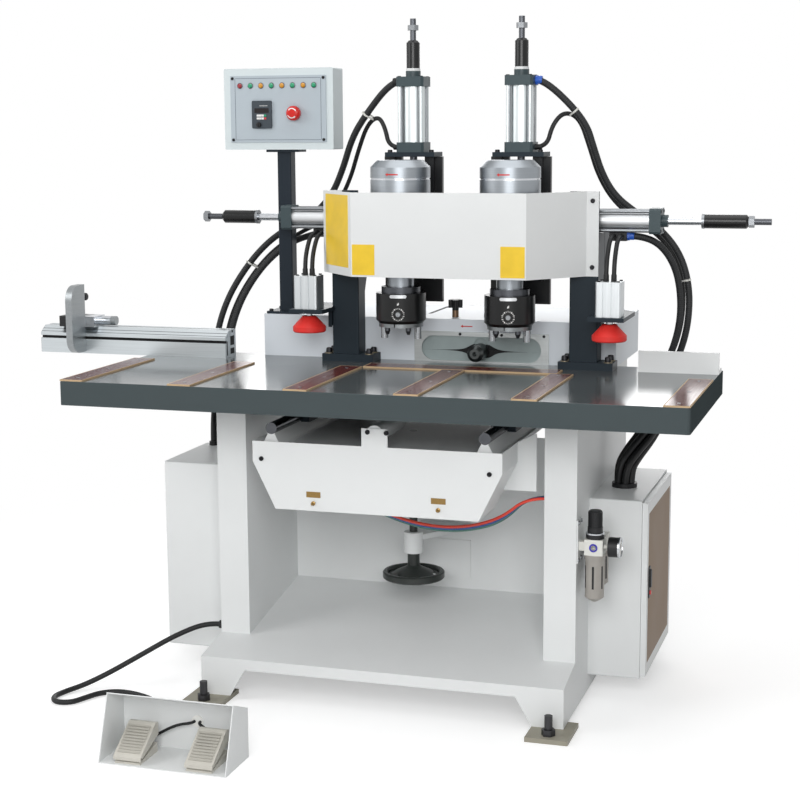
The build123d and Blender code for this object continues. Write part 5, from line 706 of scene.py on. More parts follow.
def dress_head(side):
    """One head's carriage, slide, motor, gear casing and drill spindles, and the clamp pad beside it."""
    shelf = (1395.1, 1408)
    motor_groove = (1337.5, 1342.5)
    casing_collar, arm_plate, arm_nuts = (1040.1, 1057), (949, 959.9), (920, 949.8)
    clamp_rod = (970.2, CLAMP_TOP)
    dress(side + "_carriage_black", [side + "_carriage"], black_paint, (bands("Z", shelf), slate_paint))
    dress(side + "_slide_black", [side + "_head_slide"], black_paint)
    dress(side + "_feed_barrel", [side + "_feed_cylinder"], cap_paint,
          (bands("Z", between_seams(FEED_BARREL)), feed_tube))
    dress(side + "_motor_aluminium", [side + "_motor"], turned_aluminium,
          (bands("Z", motor_groove), groove_chrome))
    dress(side + "_casing_black", [side + "_gear_casing"], casing_paint,
          (bands("Z", casing_collar), dark_steel), (bands("Z", arm_plate), plate_steel),
          (bands("Z", arm_nuts), dark_steel))
    dress(side + "_gear_steel", [side + "_drive_gear"], bright_steel)
    dress(side + "_chuck_chrome", [side + "_spindle_a", side + "_spindle_b"], chuck_chrome)
    dress(side + "_pad_rubber", [side + "_clamp_pad"], pad_red, (bands("Z", clamp_rod), chrome_plate))


def dress_rods(side):
    """One head's feed and shift rods, with a sleeve, ring and lock nut on each."""
    sleeve_bore, nut_bore = 10.5, 9
    feed_axis = (HEAD_X[side], FEED_Y, 0)
    feed_ring, feed_sleeve, feed_nut = (1620, 1628), (1628, 1701.2), (1726.8, 1741.2)
    dress(side + "_feed_rod_steel", [side + "_feed_rod"], dark_steel,
          (shell("Z", feed_axis, sleeve_bore, feed_sleeve), glossy_black),
          (shell("Z", feed_axis, sleeve_bore, feed_ring), white_paint),
          (shell("Z", feed_axis, nut_bore, feed_nut), bright_steel))
    shift_axis = (0, SHIFT_Y, SHIFT_Z)
    shift_ring = {"left": (-494, -487), "right": (740, 747)}[side]
    shift_sleeve = {"left": (-594.2, -494), "right": (747, 859.2)}[side]
    shift_nut = {"left": (-651.2, -636.8), "right": (858.8, 873.2)}[side]
    shift_tail = {"left": (-720, -594.2), "right": (873.2, 930)}[side]
    dress(side + "_shift_rod_chrome", [side + "_shift_rod"], rod_chrome,
          (bands("X", shift_tail), dark_steel),
          (shell("X", shift_axis, sleeve_bore, shift_sleeve), glossy_black),
          (shell("X", shift_axis, sleeve_bore, shift_ring), bright_steel),
          (shell("X", shift_axis, nut_bore, shift_nut), bright_steel))


def dress_cylinders():
    """The shift cylinders with their manifolds, and the clamp cylinders."""
    manifold_width, manifold_front, manifold_back, manifold_low, manifold_high = 70, 560, 640, 1170, 1202.6
    manifolds = [
        ((left, manifold_front, manifold_low), (left + manifold_width, manifold_back, manifold_high))
        for left in (490, -330)
    ]
    barrels = [between_seams(span) for span in SHIFT_BARREL.values()]
    dress("shift_barrels", ["shift_cylinders"], cap_paint, (bands("X", *barrels), shift_tube),
          (boxes(*manifolds), black_plastic))
    dress("clamp_bodies", ["clamp_cylinders"], clamp_aluminium)


def dress_air_unit():
    """The air service unit: cream bodies, grey bowls, black gauge and ring, white bracket."""
    y = SERVICE[1]
    bowls, ring = (280, 417.8), (458.1, 475)
    bracket = ((490, y - 26, 380), (497.2, y + 26, 520))
    gauge = ((570.5, y - 30, 405), (605, y + 30, 472))
    dress("service_cream", ["air_service_unit"], service_paint, (bands("Z", bowls), bowl_grey),
          (bands("Z", ring), black_plastic), (boxes(bracket), white_paint), (boxes(gauge), black_plastic))


def dress_foot_switch():
    """The white hood with its cable grommet, the pedal bases and the treadles."""
    base_half, base_front, base_back, base_low, base_high = 33, -391, -290, 2.6, 30
    bases = [
        ((x - base_half, base_front, base_low), (x + base_half, base_back, base_high))
        for x in PEDAL_X.values()
    ]
    grommet_inside = ((-334, -266, 60), (-302, -262.6, 92))
    grommet_outside = ((-334, -259.9, 60), (-302, -257, 92))
    dress("hood_white", ["pedal_hood"], white_paint, (boxes(*bases), pedal_beige),
          (boxes(grommet_inside, grommet_outside), grommet_white))
    dress("pedal_plastic", ["left_pedal", "right_pedal"], pedal_beige)


def dress_nodes():
    """Every node of the frame in its finish."""
    dress_sheet_metal()
    dress_table()
    dress_fences()
    dress_controls()
    dress_spindle()
    for side in HEAD_X:
        dress_head(side)
        dress_rods(side)
    dress_cylinders()
    dress_air_unit()
    dress_foot_switch()


# Shapes


def frame_at(place, facing, along):
    """A small millimetre frame on a surface: x along it, z out of it."""
    out = Vector(facing).normalized()
    side = Vector(along)
    side = (side - out * out.dot(side)).normalized()
    turn = Matrix((side, out.cross(side), out)).transposed().to_4x4()
    return Matrix.Translation(place) @ turn @ Matrix.Scale(MM, 4)


def front_frame(x, y, z):
    """A frame on a face that looks to the front, with x to the right and y up."""
    return frame_at(spot(x, y, z), FRONT, RIGHT)


def add_turned(mesh, place, profile, sides=32, ring=False):
    """A shape turned about the frame's z from radius and height pairs. A ring's profile closes on itself."""
    turns = [tau * i / sides for i in range(sides)]
    loops = []
    for radius, height in profile:
        if radius == 0:
            loops.append([mesh.verts.new(place @ Vector((0, 0, height)))] * sides)
            continue
        rim = [Vector((radius * cos(turn), radius * sin(turn), height)) for turn in turns]
        loops.append([mesh.verts.new(place @ point) for point in rim])
    pairs = list(zip(loops, loops[1:])) + ([(loops[-1], loops[0])] if ring else [])
    for low, high in pairs:
        for i in range(sides):
            j = (i + 1) % sides
            corners = list(dict.fromkeys((low[i], low[j], high[j], high[i])))
            if len(corners) > 2:
                mesh.faces.new(corners)


def add_plate(mesh, place, outline, low, high, edge=0.0):
    """A plate with a flat outline between two heights, with its upper edge broken."""
    levels = [(low, 0.0), (high - edge, 0.0), (high, edge)] if edge else [(low, 0.0), (high, 0.0)]
    count = len(outline)
    middle = Vector((sum(x for x, y in outline) / count, sum(y for x, y in outline) / count))
    rings = []
    for height, inset in levels:
        ring = []
        for point in outline:
            arm = Vector(point) - middle
            flat = middle + arm * max(1 - inset / max(arm.length, inset), 0)
            ring.append(mesh.verts.new(place @ Vector((flat.x, flat.y, height))))
        rings.append(ring)
    for lower, upper in zip(rings, rings[1:]):
        for i in range(count):
            j = (i + 1) % count
            mesh.faces.new((lower[i], lower[j], upper[j], upper[i]))
    mesh.faces.new(list(reversed(rings[0])))
    mesh.faces.new(rings[-1])


def rounded(width, height, radius, centre=(0, 0), steps=5):
    """The outline of a rectangle with round corners."""
    points = []
    for quarter, (sx, sy) in enumerate(((1, 1), (-1, 1), (-1, -1), (1, -1))):
        for i in range(steps + 1):
            angle = (quarter + i / steps) * pi / 2
            x = centre[0] + sx * (width / 2 - radius) + radius * cos(angle)
            y = centre[1] + sy * (height / 2 - radius) + radius * sin(angle)
            points.append((x, y))
    return points


def wrapped(place, radius):
    """Turns flat millimetres into places on a drum of that radius about the frame's z axis."""
    def bend(x, y, height):
        angle = x / radius
        reach = radius + height
        return place @ Vector((reach * sin(angle), -reach * cos(angle), y))
    return bend


def flat_on(place):
    """Turns flat millimetres into places on a frame's own plane."""
    return lambda x, y, height: place @ Vector((x, y, height))


def add_strip(mesh, bend, stations, thickness):
    """A thin mark along x with its low and high edge at each station, a little sunk into its surface."""
    sunk = 0.4
    layers = []
    for height in (-sunk, thickness):
        layers.append([
            (mesh.verts.new(bend(x, low, height)), mesh.verts.new(bend(x, high, height)))
            for x, low, high in stations
        ])
    under, over = layers
    for i in range(len(stations) - 1):
        mesh.faces.new((over[i][0], over[i + 1][0], over[i + 1][1], over[i][1]))
        mesh.faces.new((under[i][1], under[i + 1][1], under[i + 1][0], under[i][0]))
        for edge in (0, 1):
            mesh.faces.new((under[i][edge], under[i + 1][edge], over[i + 1][edge], over[i][edge]))
    for end in (0, -1):
        mesh.faces.new((under[end][0], under[end][1], over[end][1], over[end][0]))


def arrow_stations(length, stem, head):
    """Stations of a plain arrow that points to the left, with half widths of its stem and its head."""
    steps, step_down = 5, 0.05
    tip = -length / 2
    barb = tip + head * 1.4
    stations = [(tip, -0.1, 0.1), (barb, -head, head), (barb + step_down, -stem, stem)]
    return stations + [(barb + (length / 2 - barb) * i / steps, -stem, stem) for i in range(1, steps + 1)]


def add_sheet(mesh, columns, thickness):
    """A closed sheet of even thickness from columns of places."""
    layers = []
    for depth in (-thickness / 2, thickness / 2):
        layers.append([[mesh.verts.new(spot(x, y + depth, z)) for x, y, z in column] for column in columns])
    front, back = layers
    last = len(columns) - 1
    top = len(columns[0]) - 1
    for grid in layers:
        for a, b in zip(grid, grid[1:]):
            for k in range(top):
                mesh.faces.new((a[k], b[k], b[k + 1], a[k + 1]))
    for i in range(last):
        for k in (0, top):
            mesh.faces.new((front[i][k], front[i + 1][k], back[i + 1][k], back[i][k]))
    for i in (0, last):
        for k in range(top):
            mesh.faces.new((front[i][k], front[i][k + 1], back[i][k + 1], back[i][k]))


def piece(name, body, finish, build, smooth=38):
    """A finished piece from what build adds to an empty mesh."""
    mesh = bmesh.new()
    build(mesh)
    bmesh.ops.remove_doubles(mesh, verts=mesh.verts, dist=1e-7)
    bmesh.ops.recalc_face_normals(mesh, faces=mesh.faces)
    data = bpy.data.meshes.new(name)
    mesh.to_mesh(data)
    mesh.free()
    return settle(name, data, finish, body, smooth)


def settle(name, data, finish, body, smooth=38):
    """Link a mesh as a piece that rides on a body, if it is given one, and takes the finish given."""
    data.materials.clear()
    data.materials.append(finish)
    data.shade_smooth()
    data.set_sharp_from_angle(angle=radians(smooth))
    made = bpy.data.objects.new(name, data)
    bpy.context.scene.collection.objects.link(made)
    if body:
        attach(made, body)
    return made


# Repeated fixings


class Tree(Finish):
    """A node tree that puts one shape on every point of a mesh, along each point's own directions."""

    def __init__(self, name, sizes, shape):
        group = bpy.data.node_groups.new(name, "GeometryNodeTree")
        super().__init__(name, group)
        group.interface.new_socket("Places", in_out="INPUT", socket_type="NodeSocketGeometry")
        self.sockets = {}
        for size, value in sizes.items():
            kind = "NodeSocketInt" if isinstance(value, int) else "NodeSocketFloat"
            socket = group.interface.new_socket(size, in_out="INPUT", socket_type=kind)
            socket.default_value = value
            self.sockets[size] = socket.identifier
        finish = group.interface.new_socket("Finish", in_out="INPUT", socket_type="NodeSocketMaterial")
        self.sockets["Finish"] = finish.identifier
        group.interface.new_socket("Fixings", in_out="OUTPUT", socket_type="NodeSocketGeometry")
        entry = group.nodes.new("NodeGroupInput")
        self.inputs = {socket.name: Flow(self, socket) for socket in entry.outputs if socket.name}
        upright = self.add("FunctionNodeAlignRotationToVector", {"axis": "Z"},
                           {"Vector": self.attribute("facing")})
        turn = self.add("FunctionNodeAlignRotationToVector", {"axis": "X", "pivot_axis": "Z"},
                        {"Rotation": upright, "Vector": self.attribute("along")})
        placed = self.add("GeometryNodeInstanceOnPoints", inputs={
            "Points": self.inputs["Places"], "Instance": shape(self), "Rotation": turn})
        solid = self.add("GeometryNodeRealizeInstances", inputs={0: placed})
        dressed = self.add("GeometryNodeSetMaterial", inputs={
            "Geometry": solid, "Material": self.inputs["Finish"]})
        self.add("NodeGroupOutput", inputs={0: dressed})
        self.group = group

    def attribute(self, name):
        return self.add("GeometryNodeInputNamedAttribute", {"data_type": "FLOAT_VECTOR"}, {"Name": name})

    def moved(self, geometry, height):
        lift = self.add("ShaderNodeCombineXYZ", inputs={2: height})
        return self.add("GeometryNodeTransform", inputs={"Geometry": geometry, "Translation": lift})

    def boolean(self, operation, socket, parts, inputs=None):
        """A boolean of parts that all go into one of the node's sockets."""
        made = self.add("GeometryNodeMeshBoolean", {"operation": operation, "solver": "EXACT"}, inputs)
        for part in parts:
            self.tree.links.new(part.socket, made.socket.node.inputs[socket])
        return made


def screw_shape(tree):
    """A round or hexagonal head with a chamfered top and a socket sunk into it."""
    straight, taper = 0.75, 0.82
    size = tree.inputs
    height = size["Height"]
    radius = size["Radius"]
    body = tree.add("GeometryNodeMeshCylinder", inputs={
        "Vertices": size["Sides"], "Radius": radius, "Depth": height * straight})
    crown = tree.add("GeometryNodeMeshCone", inputs={
        "Vertices": size["Sides"], "Radius Bottom": radius, "Radius Top": radius * taper,
        "Depth": height * (1 - straight)})
    socket = tree.add("GeometryNodeMeshCylinder", inputs={
        "Vertices": size["Socket Sides"], "Radius": size["Socket"], "Depth": height})
    stack = (tree.moved(body, height * (straight / 2)), tree.moved(crown, height * straight))
    head = tree.boolean("UNION", "Mesh", stack)
    sunk = tree.moved(socket, height * 0.5 + size["Floor"])
    return tree.boolean("DIFFERENCE", "Mesh 2", [sunk], {"Mesh 1": head})


def bar_shape(tree):
    """A plain bar that stands on the surface."""
    size = tree.inputs
    measure = tree.add("ShaderNodeCombineXYZ", inputs={
        0: size["Length"], 1: size["Width"], 2: size["Height"]})
    bar = tree.add("GeometryNodeMeshCube", inputs={"Size": measure})
    return tree.moved(bar, size["Height"] * 0.5)


screw_tree = Tree("screw_heads", {
    "Radius": 0.005, "Height": 0.004, "Sides": 20, "Socket": 0.0025, "Socket Sides": 6, "Floor": 0.002,
}, screw_shape)
bar_tree = Tree("bars", {"Length": 0.06, "Width": 0.002, "Height": 0.001}, bar_shape)


def scatter(name, body, slot, finish, tree, places, **sizes):
    """Fixings of one kind on one body, each place with its facing and along directions."""
    data = bpy.data.meshes.new(name)
    data.from_pydata([place for place, facing, along in places], [], [])
    for index, key in ((1, "facing"), (2, "along")):
        attribute = data.attributes.new(key, "FLOAT_VECTOR", "POINT")
        for item, entry in zip(attribute.data, places):
            item.vector = entry[index]
    holder = bpy.data.objects.new(name + "_places", data)
    bpy.context.scene.collection.objects.link(holder)
    modifier = holder.modifiers.new("fixings", "NODES")
    modifier.node_group = tree.group
    for key, value in sizes.items():
        label = key.replace("_", " ").title()
        modifier[tree.sockets[label]] = value if isinstance(value, int) else value * MM
    modifier[tree.sockets["Finish"]] = finish
    bpy.context.view_layer.update()
    seen = holder.evaluated_get(bpy.context.evaluated_depsgraph_get())
    result = bpy.data.meshes.new_from_object(seen)
    holder.modifiers.clear()
    bpy.data.objects.remove(holder)
    result.name = name
    for key in ("facing", "along"):
        if key in result.attributes:
            result.attributes.remove(result.attributes[key])
    return settle(name, result, finish, body)


def facing_front(*places):
    return [(spot(*place), FRONT, RIGHT) for place in places]


def facing_up(*places):
    return [(spot(*place), UP, RIGHT) for place in places]


# Hoses and cables


def route_line(points, fineness=8):
    """Places along the smooth line that a hose takes through its route's control points."""
    data = bpy.data.curves.new("route", "CURVE")
    data.dimensions = "3D"
    data.resolution_u = fineness
    spline = data.splines.new("NURBS")
    spline.points.add(len(points) - 1)
    for point, place in zip(spline.points, points):
        point.co = (*spot(*place), 1.0)
    spline.order_u = 3
    spline.use_endpoint_u = True
    holder = bpy.data.objects.new("route", data)
    bpy.context.scene.collection.objects.link(holder)
    bpy.context.view_layer.update()
    seen = holder.evaluated_get(bpy.context.evaluated_depsgraph_get())
    line = bpy.data.meshes.new_from_object(seen)
    places = [vertex.co.copy() for vertex in line.vertices]
    bpy.data.objects.remove(holder)
    return places


def short_line(points):
    """The line of a short hose, with closer steps."""
    return route_line(points, fineness=12)


def line_length(line):
    return sum((b - a).length for a, b in zip(line, line[1:]))


def line_frames(line):
    """A direction and two steady cross directions at every place of a line."""
    frames = []
    side = None
    for i, place in enumerate(line):
        way = (line[min(i + 1, len(line) - 1)] - line[max(i - 1, 0)]).normalized()
        if side is None:
            side = way.orthogonal()
        side = (side - way * way.dot(side)).normalized()
        frames.append((place, way, side, way.cross(side)))
    return frames


def tube_mesh(name, line, radius, sides=16):
    """A closed tube along a line, with a map that runs round and along it in metres."""
    mesh = bmesh.new()
    chart = mesh.loops.layers.uv.new("route")
    rings = []
    lengths = [0.0]
    for a, b in zip(line, line[1:]):
        lengths.append(lengths[-1] + (b - a).length)
    turns = [tau * i / sides for i in range(sides)]
    for place, way, side, other in line_frames(line):
        rings.append([mesh.verts.new(place + (side * cos(a) + other * sin(a)) * radius) for a in turns])
    for k in range(len(rings) - 1):
        for i in range(sides):
            j = (i + 1) % sides
            face = mesh.faces.new((rings[k][i], rings[k][j], rings[k + 1][j], rings[k + 1][i]))
            corners = ((i, k), (i + 1, k), (i + 1, k + 1), (i, k + 1))
            for loop, (turn, step) in zip(face.loops, corners):
                loop[chart].uv = (turn / sides, lengths[step])
    mesh.faces.new(list(reversed(rings[0])))
    mesh.faces.new(rings[-1])
    bmesh.ops.recalc_face_normals(mesh, faces=mesh.faces)
    data = bpy.data.meshes.new(name)
    mesh.to_mesh(data)
    mesh.free()
    return data


def lay_hose(name, line, diameter, finish, body, node):
    """A hose or cable along a line, with the thickness that it has."""
    made = settle(name, tube_mesh(name, line, diameter * MM / 2), finish, body, smooth=80)
    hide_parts(node)
    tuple(line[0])
    line_length(line)
    return made


def lay_fixed_hose(name, line, diameter, finish):
    """A hose or cable that stays where it is."""
    lay_hose(name, line, diameter, finish, "root", "hoses_and_cables")


def belt(first, second, distance, thickness, steps=14):
    """The outline of a strap drawn tight round two hoses that lie side by side."""
    turn = acos((first - second) / distance)
    outline = []
    for radius, centre, start, end in ((first, 0, turn, tau - turn), (second, distance, -turn, turn)):
        for i in range(steps + 1):
            angle = start + (end - start) * i / steps
            outline.append((centre + (radius + thickness) * cos(angle), (radius + thickness) * sin(angle)))
    return outline


def tie_round(name, line, other, near, radii, finish):
    """A cable tie with its square head, drawn tight round a hose and the hose beside it."""
    width, thickness = 4.8, 1.3
    head_width, head_size, head_reach = 4.4, 5.6, 2.4
    target = spot(*near)
    place, way, *_ = min(line_frames(line), key=lambda held: (held[0] - target).length)
    offset = min(other, key=lambda point: (point - place).length) - place
    offset -= way * way.dot(offset)
    hold = frame_at(place, way, offset)

    def build(mesh):
        rings = []
        section = ((0, -width / 2), (thickness, -width / 2), (thickness, width / 2), (0, width / 2))
        for out, height in section:
            outline = belt(*radii, offset.length / MM, out)
            rings.append([mesh.verts.new(hold @ Vector((x, y, height))) for x, y in outline])
        for low, high in zip(rings, rings[1:] + rings[:1]):
            for i in range(len(low)):
                j = (i + 1) % len(low)
                mesh.faces.new((low[i], low[j], high[j], high[i]))
        head = hold @ Matrix.Translation((-radii[0] - head_reach, 0, -head_size / 2))
        add_plate(mesh, head, rounded(head_width, head_size, 0.8), low=0, high=head_size, edge=0.4)
    return piece(name, None, finish, build)


def add_fitting(name, body, finish, place, way, radius):
    """A push-in fitting: threaded hexagon, collar and release ring, where a hose leaves its port."""
    sunk, nut_height, collar_height, ring_height = 1, 6, 16, 18
    nut_radius, collar_radius, ring_radius = radius * 1.35, radius * 1.2, radius * 1.1
    hold = frame_at(place, way, along=(0.3, 0.2, 1))
    nut = [(0, -sunk), (nut_radius, -sunk), (nut_radius, nut_height), (0, nut_height)]
    collar = [(0, nut_height), (collar_radius, nut_height), (collar_radius, collar_height),
              (ring_radius, ring_height), (0, ring_height)]

    def build(mesh):
        add_turned(mesh, hold, nut, sides=6)
        add_turned(mesh, hold, collar, sides=24)
    piece(name, body, finish, build)


def lay_head_hoses(side, sleeve, rubber, tie, fitting):
    """A head's thick and thin hose with their ties and fittings, and the loop to its shift cylinder."""
    carriage, node = side + "_carriage", side + "_head_hose"
    route = HEAD_HOSES[side]
    bend = {"start": spot(*route[BEND_START]), "end": spot(*route[BEND_END])}
    line = route_line(route)
    beside = route_line(THIN_HOSES[side])
    radii = (THICK_HOSE / 2, THIN_HOSE / 2)
    ties = [
        tie_round(f"{side}_hose_tie_{i + 1}", line, beside, near, radii, tie)
        for i, near in enumerate(TIES[side])
    ]
    hoses = [
        lay_hose(side + "_head_hose_sleeve", line, THICK_HOSE, sleeve, None, node),
        lay_hose(side + "_thin_hose_sleeve", beside, THIN_HOSE, rubber, None, node),
    ]
    for part in (*hoses, *ties):
        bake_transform(part)
    way = Vector((OUTWARD[side], 0, 0))
    add_fitting(side + "_hose_fitting", carriage, fitting, line[0], way, THICK_HOSE / 2)
    add_fitting(side + "_thin_hose_fitting", carriage, rubber, beside[0], way, THIN_HOSE / 2)
    loop = route_line(LOOPS[side])
    lay_fixed_hose(side + "_loop_hose", loop, THICK_HOSE, sleeve)
    add_fitting(side + "_loop_fitting", "root", fitting, loop[0], loop[1] - loop[0], THICK_HOSE / 2)


def lay_conduit(rubber):
    """The wrapped conduit as a bundle of hoses that turn slowly round each other."""
    outer, spread, twist = 6, 19.4 * MM, 1.1
    frames = line_frames(short_line(CONDUIT))
    for i in range(outer + 1):
        reach = spread if i < outer else 0.0
        strand = []
        for k, (place, way, side, other) in enumerate(frames):
            angle = tau * i / outer + twist * k / len(frames)
            strand.append(place + (side * cos(angle) + other * sin(angle)) * reach)
        lay_fixed_hose(f"conduit_strand_{i + 1}", strand, CONDUIT_STRAND, rubber)


def lay_clamp_hoses(rubber):
    """Two short hoses from each clamp cylinder up to its manifold."""
    half_pitch = 10
    for side, centre in CLAMP_X.items():
        for i, x in enumerate((centre - half_pitch, centre + half_pitch)):
            line = short_line([
                (x, CLAMP_Y, CLAMP_TOP), (x, CLAMP_Y, 1116), (x, 498, 1153.5), (x, 532, MANIFOLD_Z),
                (x, 582.5, MANIFOLD_Z),
            ])
            lay_fixed_hose(f"{side}_clamp_hose_{i + 1}", line, THIN_HOSE, rubber)
            add_fitting(f"{side}_clamp_fitting_{i + 1}", "root", rubber, line[0], UP, THIN_HOSE / 2)


def lay_air_tubes():
    """Three coloured tubes that hang from side to side under the apron, each a little lower."""
    first_y, pitch, step_down = 312, 10, 7
    for i, colour in enumerate(TUBE_COLOURS):
        y = first_y + pitch * i
        drop = step_down * i
        route = [
            (-388, y, 640), (-318, y, 640), (-208, y + 6, 572 - drop), (-112, y + 10, 508 - drop),
            (-12, y + 12, 464 - drop), (90, y + 12, 444 - drop), (190, y + 10, 449 - drop),
            (282, y + 6, 480 - drop), (350, y, 540), (412, y, 540),
        ]
        tube = material(f"air_tube_colour_{i + 1}", tubing(colour))
        lay_fixed_hose(f"air_tube_{i + 1}", route_line(route), AIR_TUBE, tube)


def lay_pedal_cables(rubber):
    """The cable over the floor to the foot switch, and the lead from it to each pedal."""
    lay_fixed_hose("pedal_cable", route_line(PEDAL_CABLE), PEDAL_CABLE_DIAMETER, rubber)
    for side, start in (("left", -325.5), ("right", -310.5)):
        end = PEDAL_X[side]
        reach = end - start
        route = [
            (start, -265, 76), (start, -277.5, 76), (start + 0.35 * reach, -278.5, 68),
            (start + 0.8 * reach, -277.5, 38), (end, -277.5, 19), (end, -294.5, 19),
        ]
        lay_fixed_hose(side + "_pedal_lead", short_line(route), PEDAL_LEAD, rubber)


def lay_hoses():
    """All the machine's hoses and cables."""
    sleeve = material("hose_sleeve", hose_braid)
    rubber = material("hose_rubber", hose_rubber)
    tie = material("tie_plastic", tie_white)
    fittings = {"left": rubber, "right": material("fitting_blue", fitting_blue)}
    for side, fitting in fittings.items():
        lay_head_hoses(side, sleeve, rubber, tie, fitting)
    lay_conduit(rubber)
    lay_clamp_hoses(rubber)
    lay_air_tubes()
    lay_pedal_cables(rubber)


# Marks, plates and small fittings


def make_cover_plates():
    """Bare yellow plates on the front cover and on its left wing."""
    yellow = material("yellow_plate", plate_yellow)
    plate_height, plate_z = 80, 1131
    for name, x, width in (("left_cover_plate", -111, 62), ("right_cover_plate", 290, 64)):
        place = front_frame(x, COVER_FRONT_Y, plate_z)
        outline = rounded(width, plate_height, 2)
        piece(name, "root", yellow,
              lambda mesh: add_plate(mesh, place, outline, low=-0.2, high=0.5, edge=0.2))
    wing_start, wing_end, wing_z = Vector((-145, COVER_FRONT_Y, 0)), Vector((-270, 528, 0)), 1203
    middle = (wing_start + wing_end) / 2
    out = Vector((wing_start.y - wing_end.y, wing_end.x - wing_start.x, 0))
    wing = frame_at(spot(middle.x, middle.y, wing_z), out, wing_start - wing_end)
    piece("wing_plate", "root", yellow,
          lambda mesh: add_plate(mesh, wing, rounded(152, 190, 3), low=-0.4, high=0.6, edge=0.2))


def make_motor_arrow(side, red):
    """A plain arrow on a motor's front, for the way that it turns."""
    arrow_z = 1352
    drum = frame_at(spot(HEAD_X[side], HEAD_Y, arrow_z), UP, RIGHT)
    stations = arrow_stations(length=34, stem=1.7, head=4.4)
    piece(side + "_motor_arrow", side + "_head", red,
          lambda mesh: add_strip(mesh, wrapped(drum, MOTOR_RADIUS), stations, 0.25))


def make_casing_marks(side, silver):
    """A bare plate, a setting dial with its ticks and a small knob on a gear casing's front."""
    x, head = HEAD_X[side], side + "_head"
    turn = radians(10)
    out = Vector((sin(turn), -cos(turn), 0))
    dial_z, dial_radius, tick_count, tick_width = 987.0, 15.5, 20, 1.1
    drum = frame_at(spot(x, HEAD_Y, dial_z), UP, (cos(turn), sin(turn), 0))
    bend = wrapped(drum, CASING_RADIUS)
    plate_z, length, height, steps = 1034.0, 46.0, 8.6, 24
    stations = []
    for i in range(steps + 1):
        along = -length / 2 + length * i / steps
        past = max(abs(along) - (length - height) / 2, 0)
        half = max((height ** 2 / 4 - past ** 2), 0.01) ** 0.5
        stations.append((along, plate_z - dial_z - half, plate_z - dial_z + half))
    piece(side + "_casing_plate", head, silver,
          lambda mesh: add_strip(mesh, bend, stations, 0.4))

    def ticks(mesh):
        for i in range(tick_count):
            angle = tau * i / tick_count
            middle_x, middle_y = dial_radius * sin(angle), dial_radius * cos(angle)
            tick = 3.4 if i % 2 == 0 else 1.8
            shift = (tick * abs(sin(angle)) + tick_width) / 2
            rise = (tick * abs(cos(angle)) + tick_width) / 2
            add_strip(mesh, bend, [(middle_x - shift, middle_y - rise, middle_y + rise),
                                   (middle_x + shift, middle_y - rise, middle_y + rise)], 0.2)
        for along, low, high in ((-2.2, 23.5, 29), (0.2, 24.5, 31)):
            add_strip(mesh, bend, [(along, low, high), (along + 2.4, low + 0.8, high)], 0.2)
    ink = material(side + "_dial_ink", plastic(tone(224, 224, 222), roughness=0.5))
    piece(side + "_casing_dial", head, ink, ticks)
    hold = frame_at(spot(x, HEAD_Y, dial_z) + out * CASING_RADIUS * MM, out, UP)
    knob = [(0, -2), (6.5, -2), (6.5, 1.5), (5.8, 2.4), (2.6, 2.4), (2.2, 1.4), (0, 1.4)]
    piece(side + "_casing_knob", head, material(side + "_dial_knob", bright_steel),
          lambda mesh: add_turned(mesh, hold, knob, sides=40))


def make_housing_marks(red):
    """The star knob's slot in the housing's top as a thin black strip of painted shade, and a plain arrow on
    its front.
    """
    slot = frame_at(spot(-27, 818, 957), UP, BACK)
    piece("housing_slot", "root", material("slot_dark", painted_shade_black),
          lambda mesh: add_plate(mesh, slot, rounded(195, 11, 5.4), low=-0.4, high=0.25))
    face = flat_on(front_frame(111, 605, 938))
    stations = arrow_stations(length=33, stem=1.4, head=4.2)
    piece("housing_arrow", "root", red, lambda mesh: add_strip(mesh, face, stations, 0.25))


def make_apron_marks():
    """Two bare brass plates on the apron, each with a grease nipple under it."""
    brass = material("brass_plate", plate_brass)
    plate = rounded(38, 15, 1)
    nipple_drop = 22
    nipple = [(0, -1), (5.5, -1), (5.5, 4), (3.2, 5), (3.2, 9), (4.0, 11), (2.6, 14), (0, 14)]
    for i, (x, z) in enumerate(((-158.5, 557), (170, 560))):
        place = front_frame(x, APRON_Y, z)
        piece(f"apron_plate_{i + 1}", "knee", brass,
              lambda mesh: add_plate(mesh, place, plate, low=-0.2, high=0.7, edge=0.2))
        under = front_frame(x, APRON_Y, z - nipple_drop)
        piece(f"grease_nipple_{i + 1}", "knee", brass,
              lambda mesh: add_turned(mesh, under, nipple, sides=20))


def make_marks():
    """Bare plates, plain arrows, dials and what stands beside them."""
    red = material("red_mark", mark_red)
    silver = material("silver_plate", plate_silver)
    make_cover_plates()
    for side in HEAD_X:
        make_motor_arrow(side, red)
        make_casing_marks(side, silver)
    make_housing_marks(red)
    make_apron_marks()


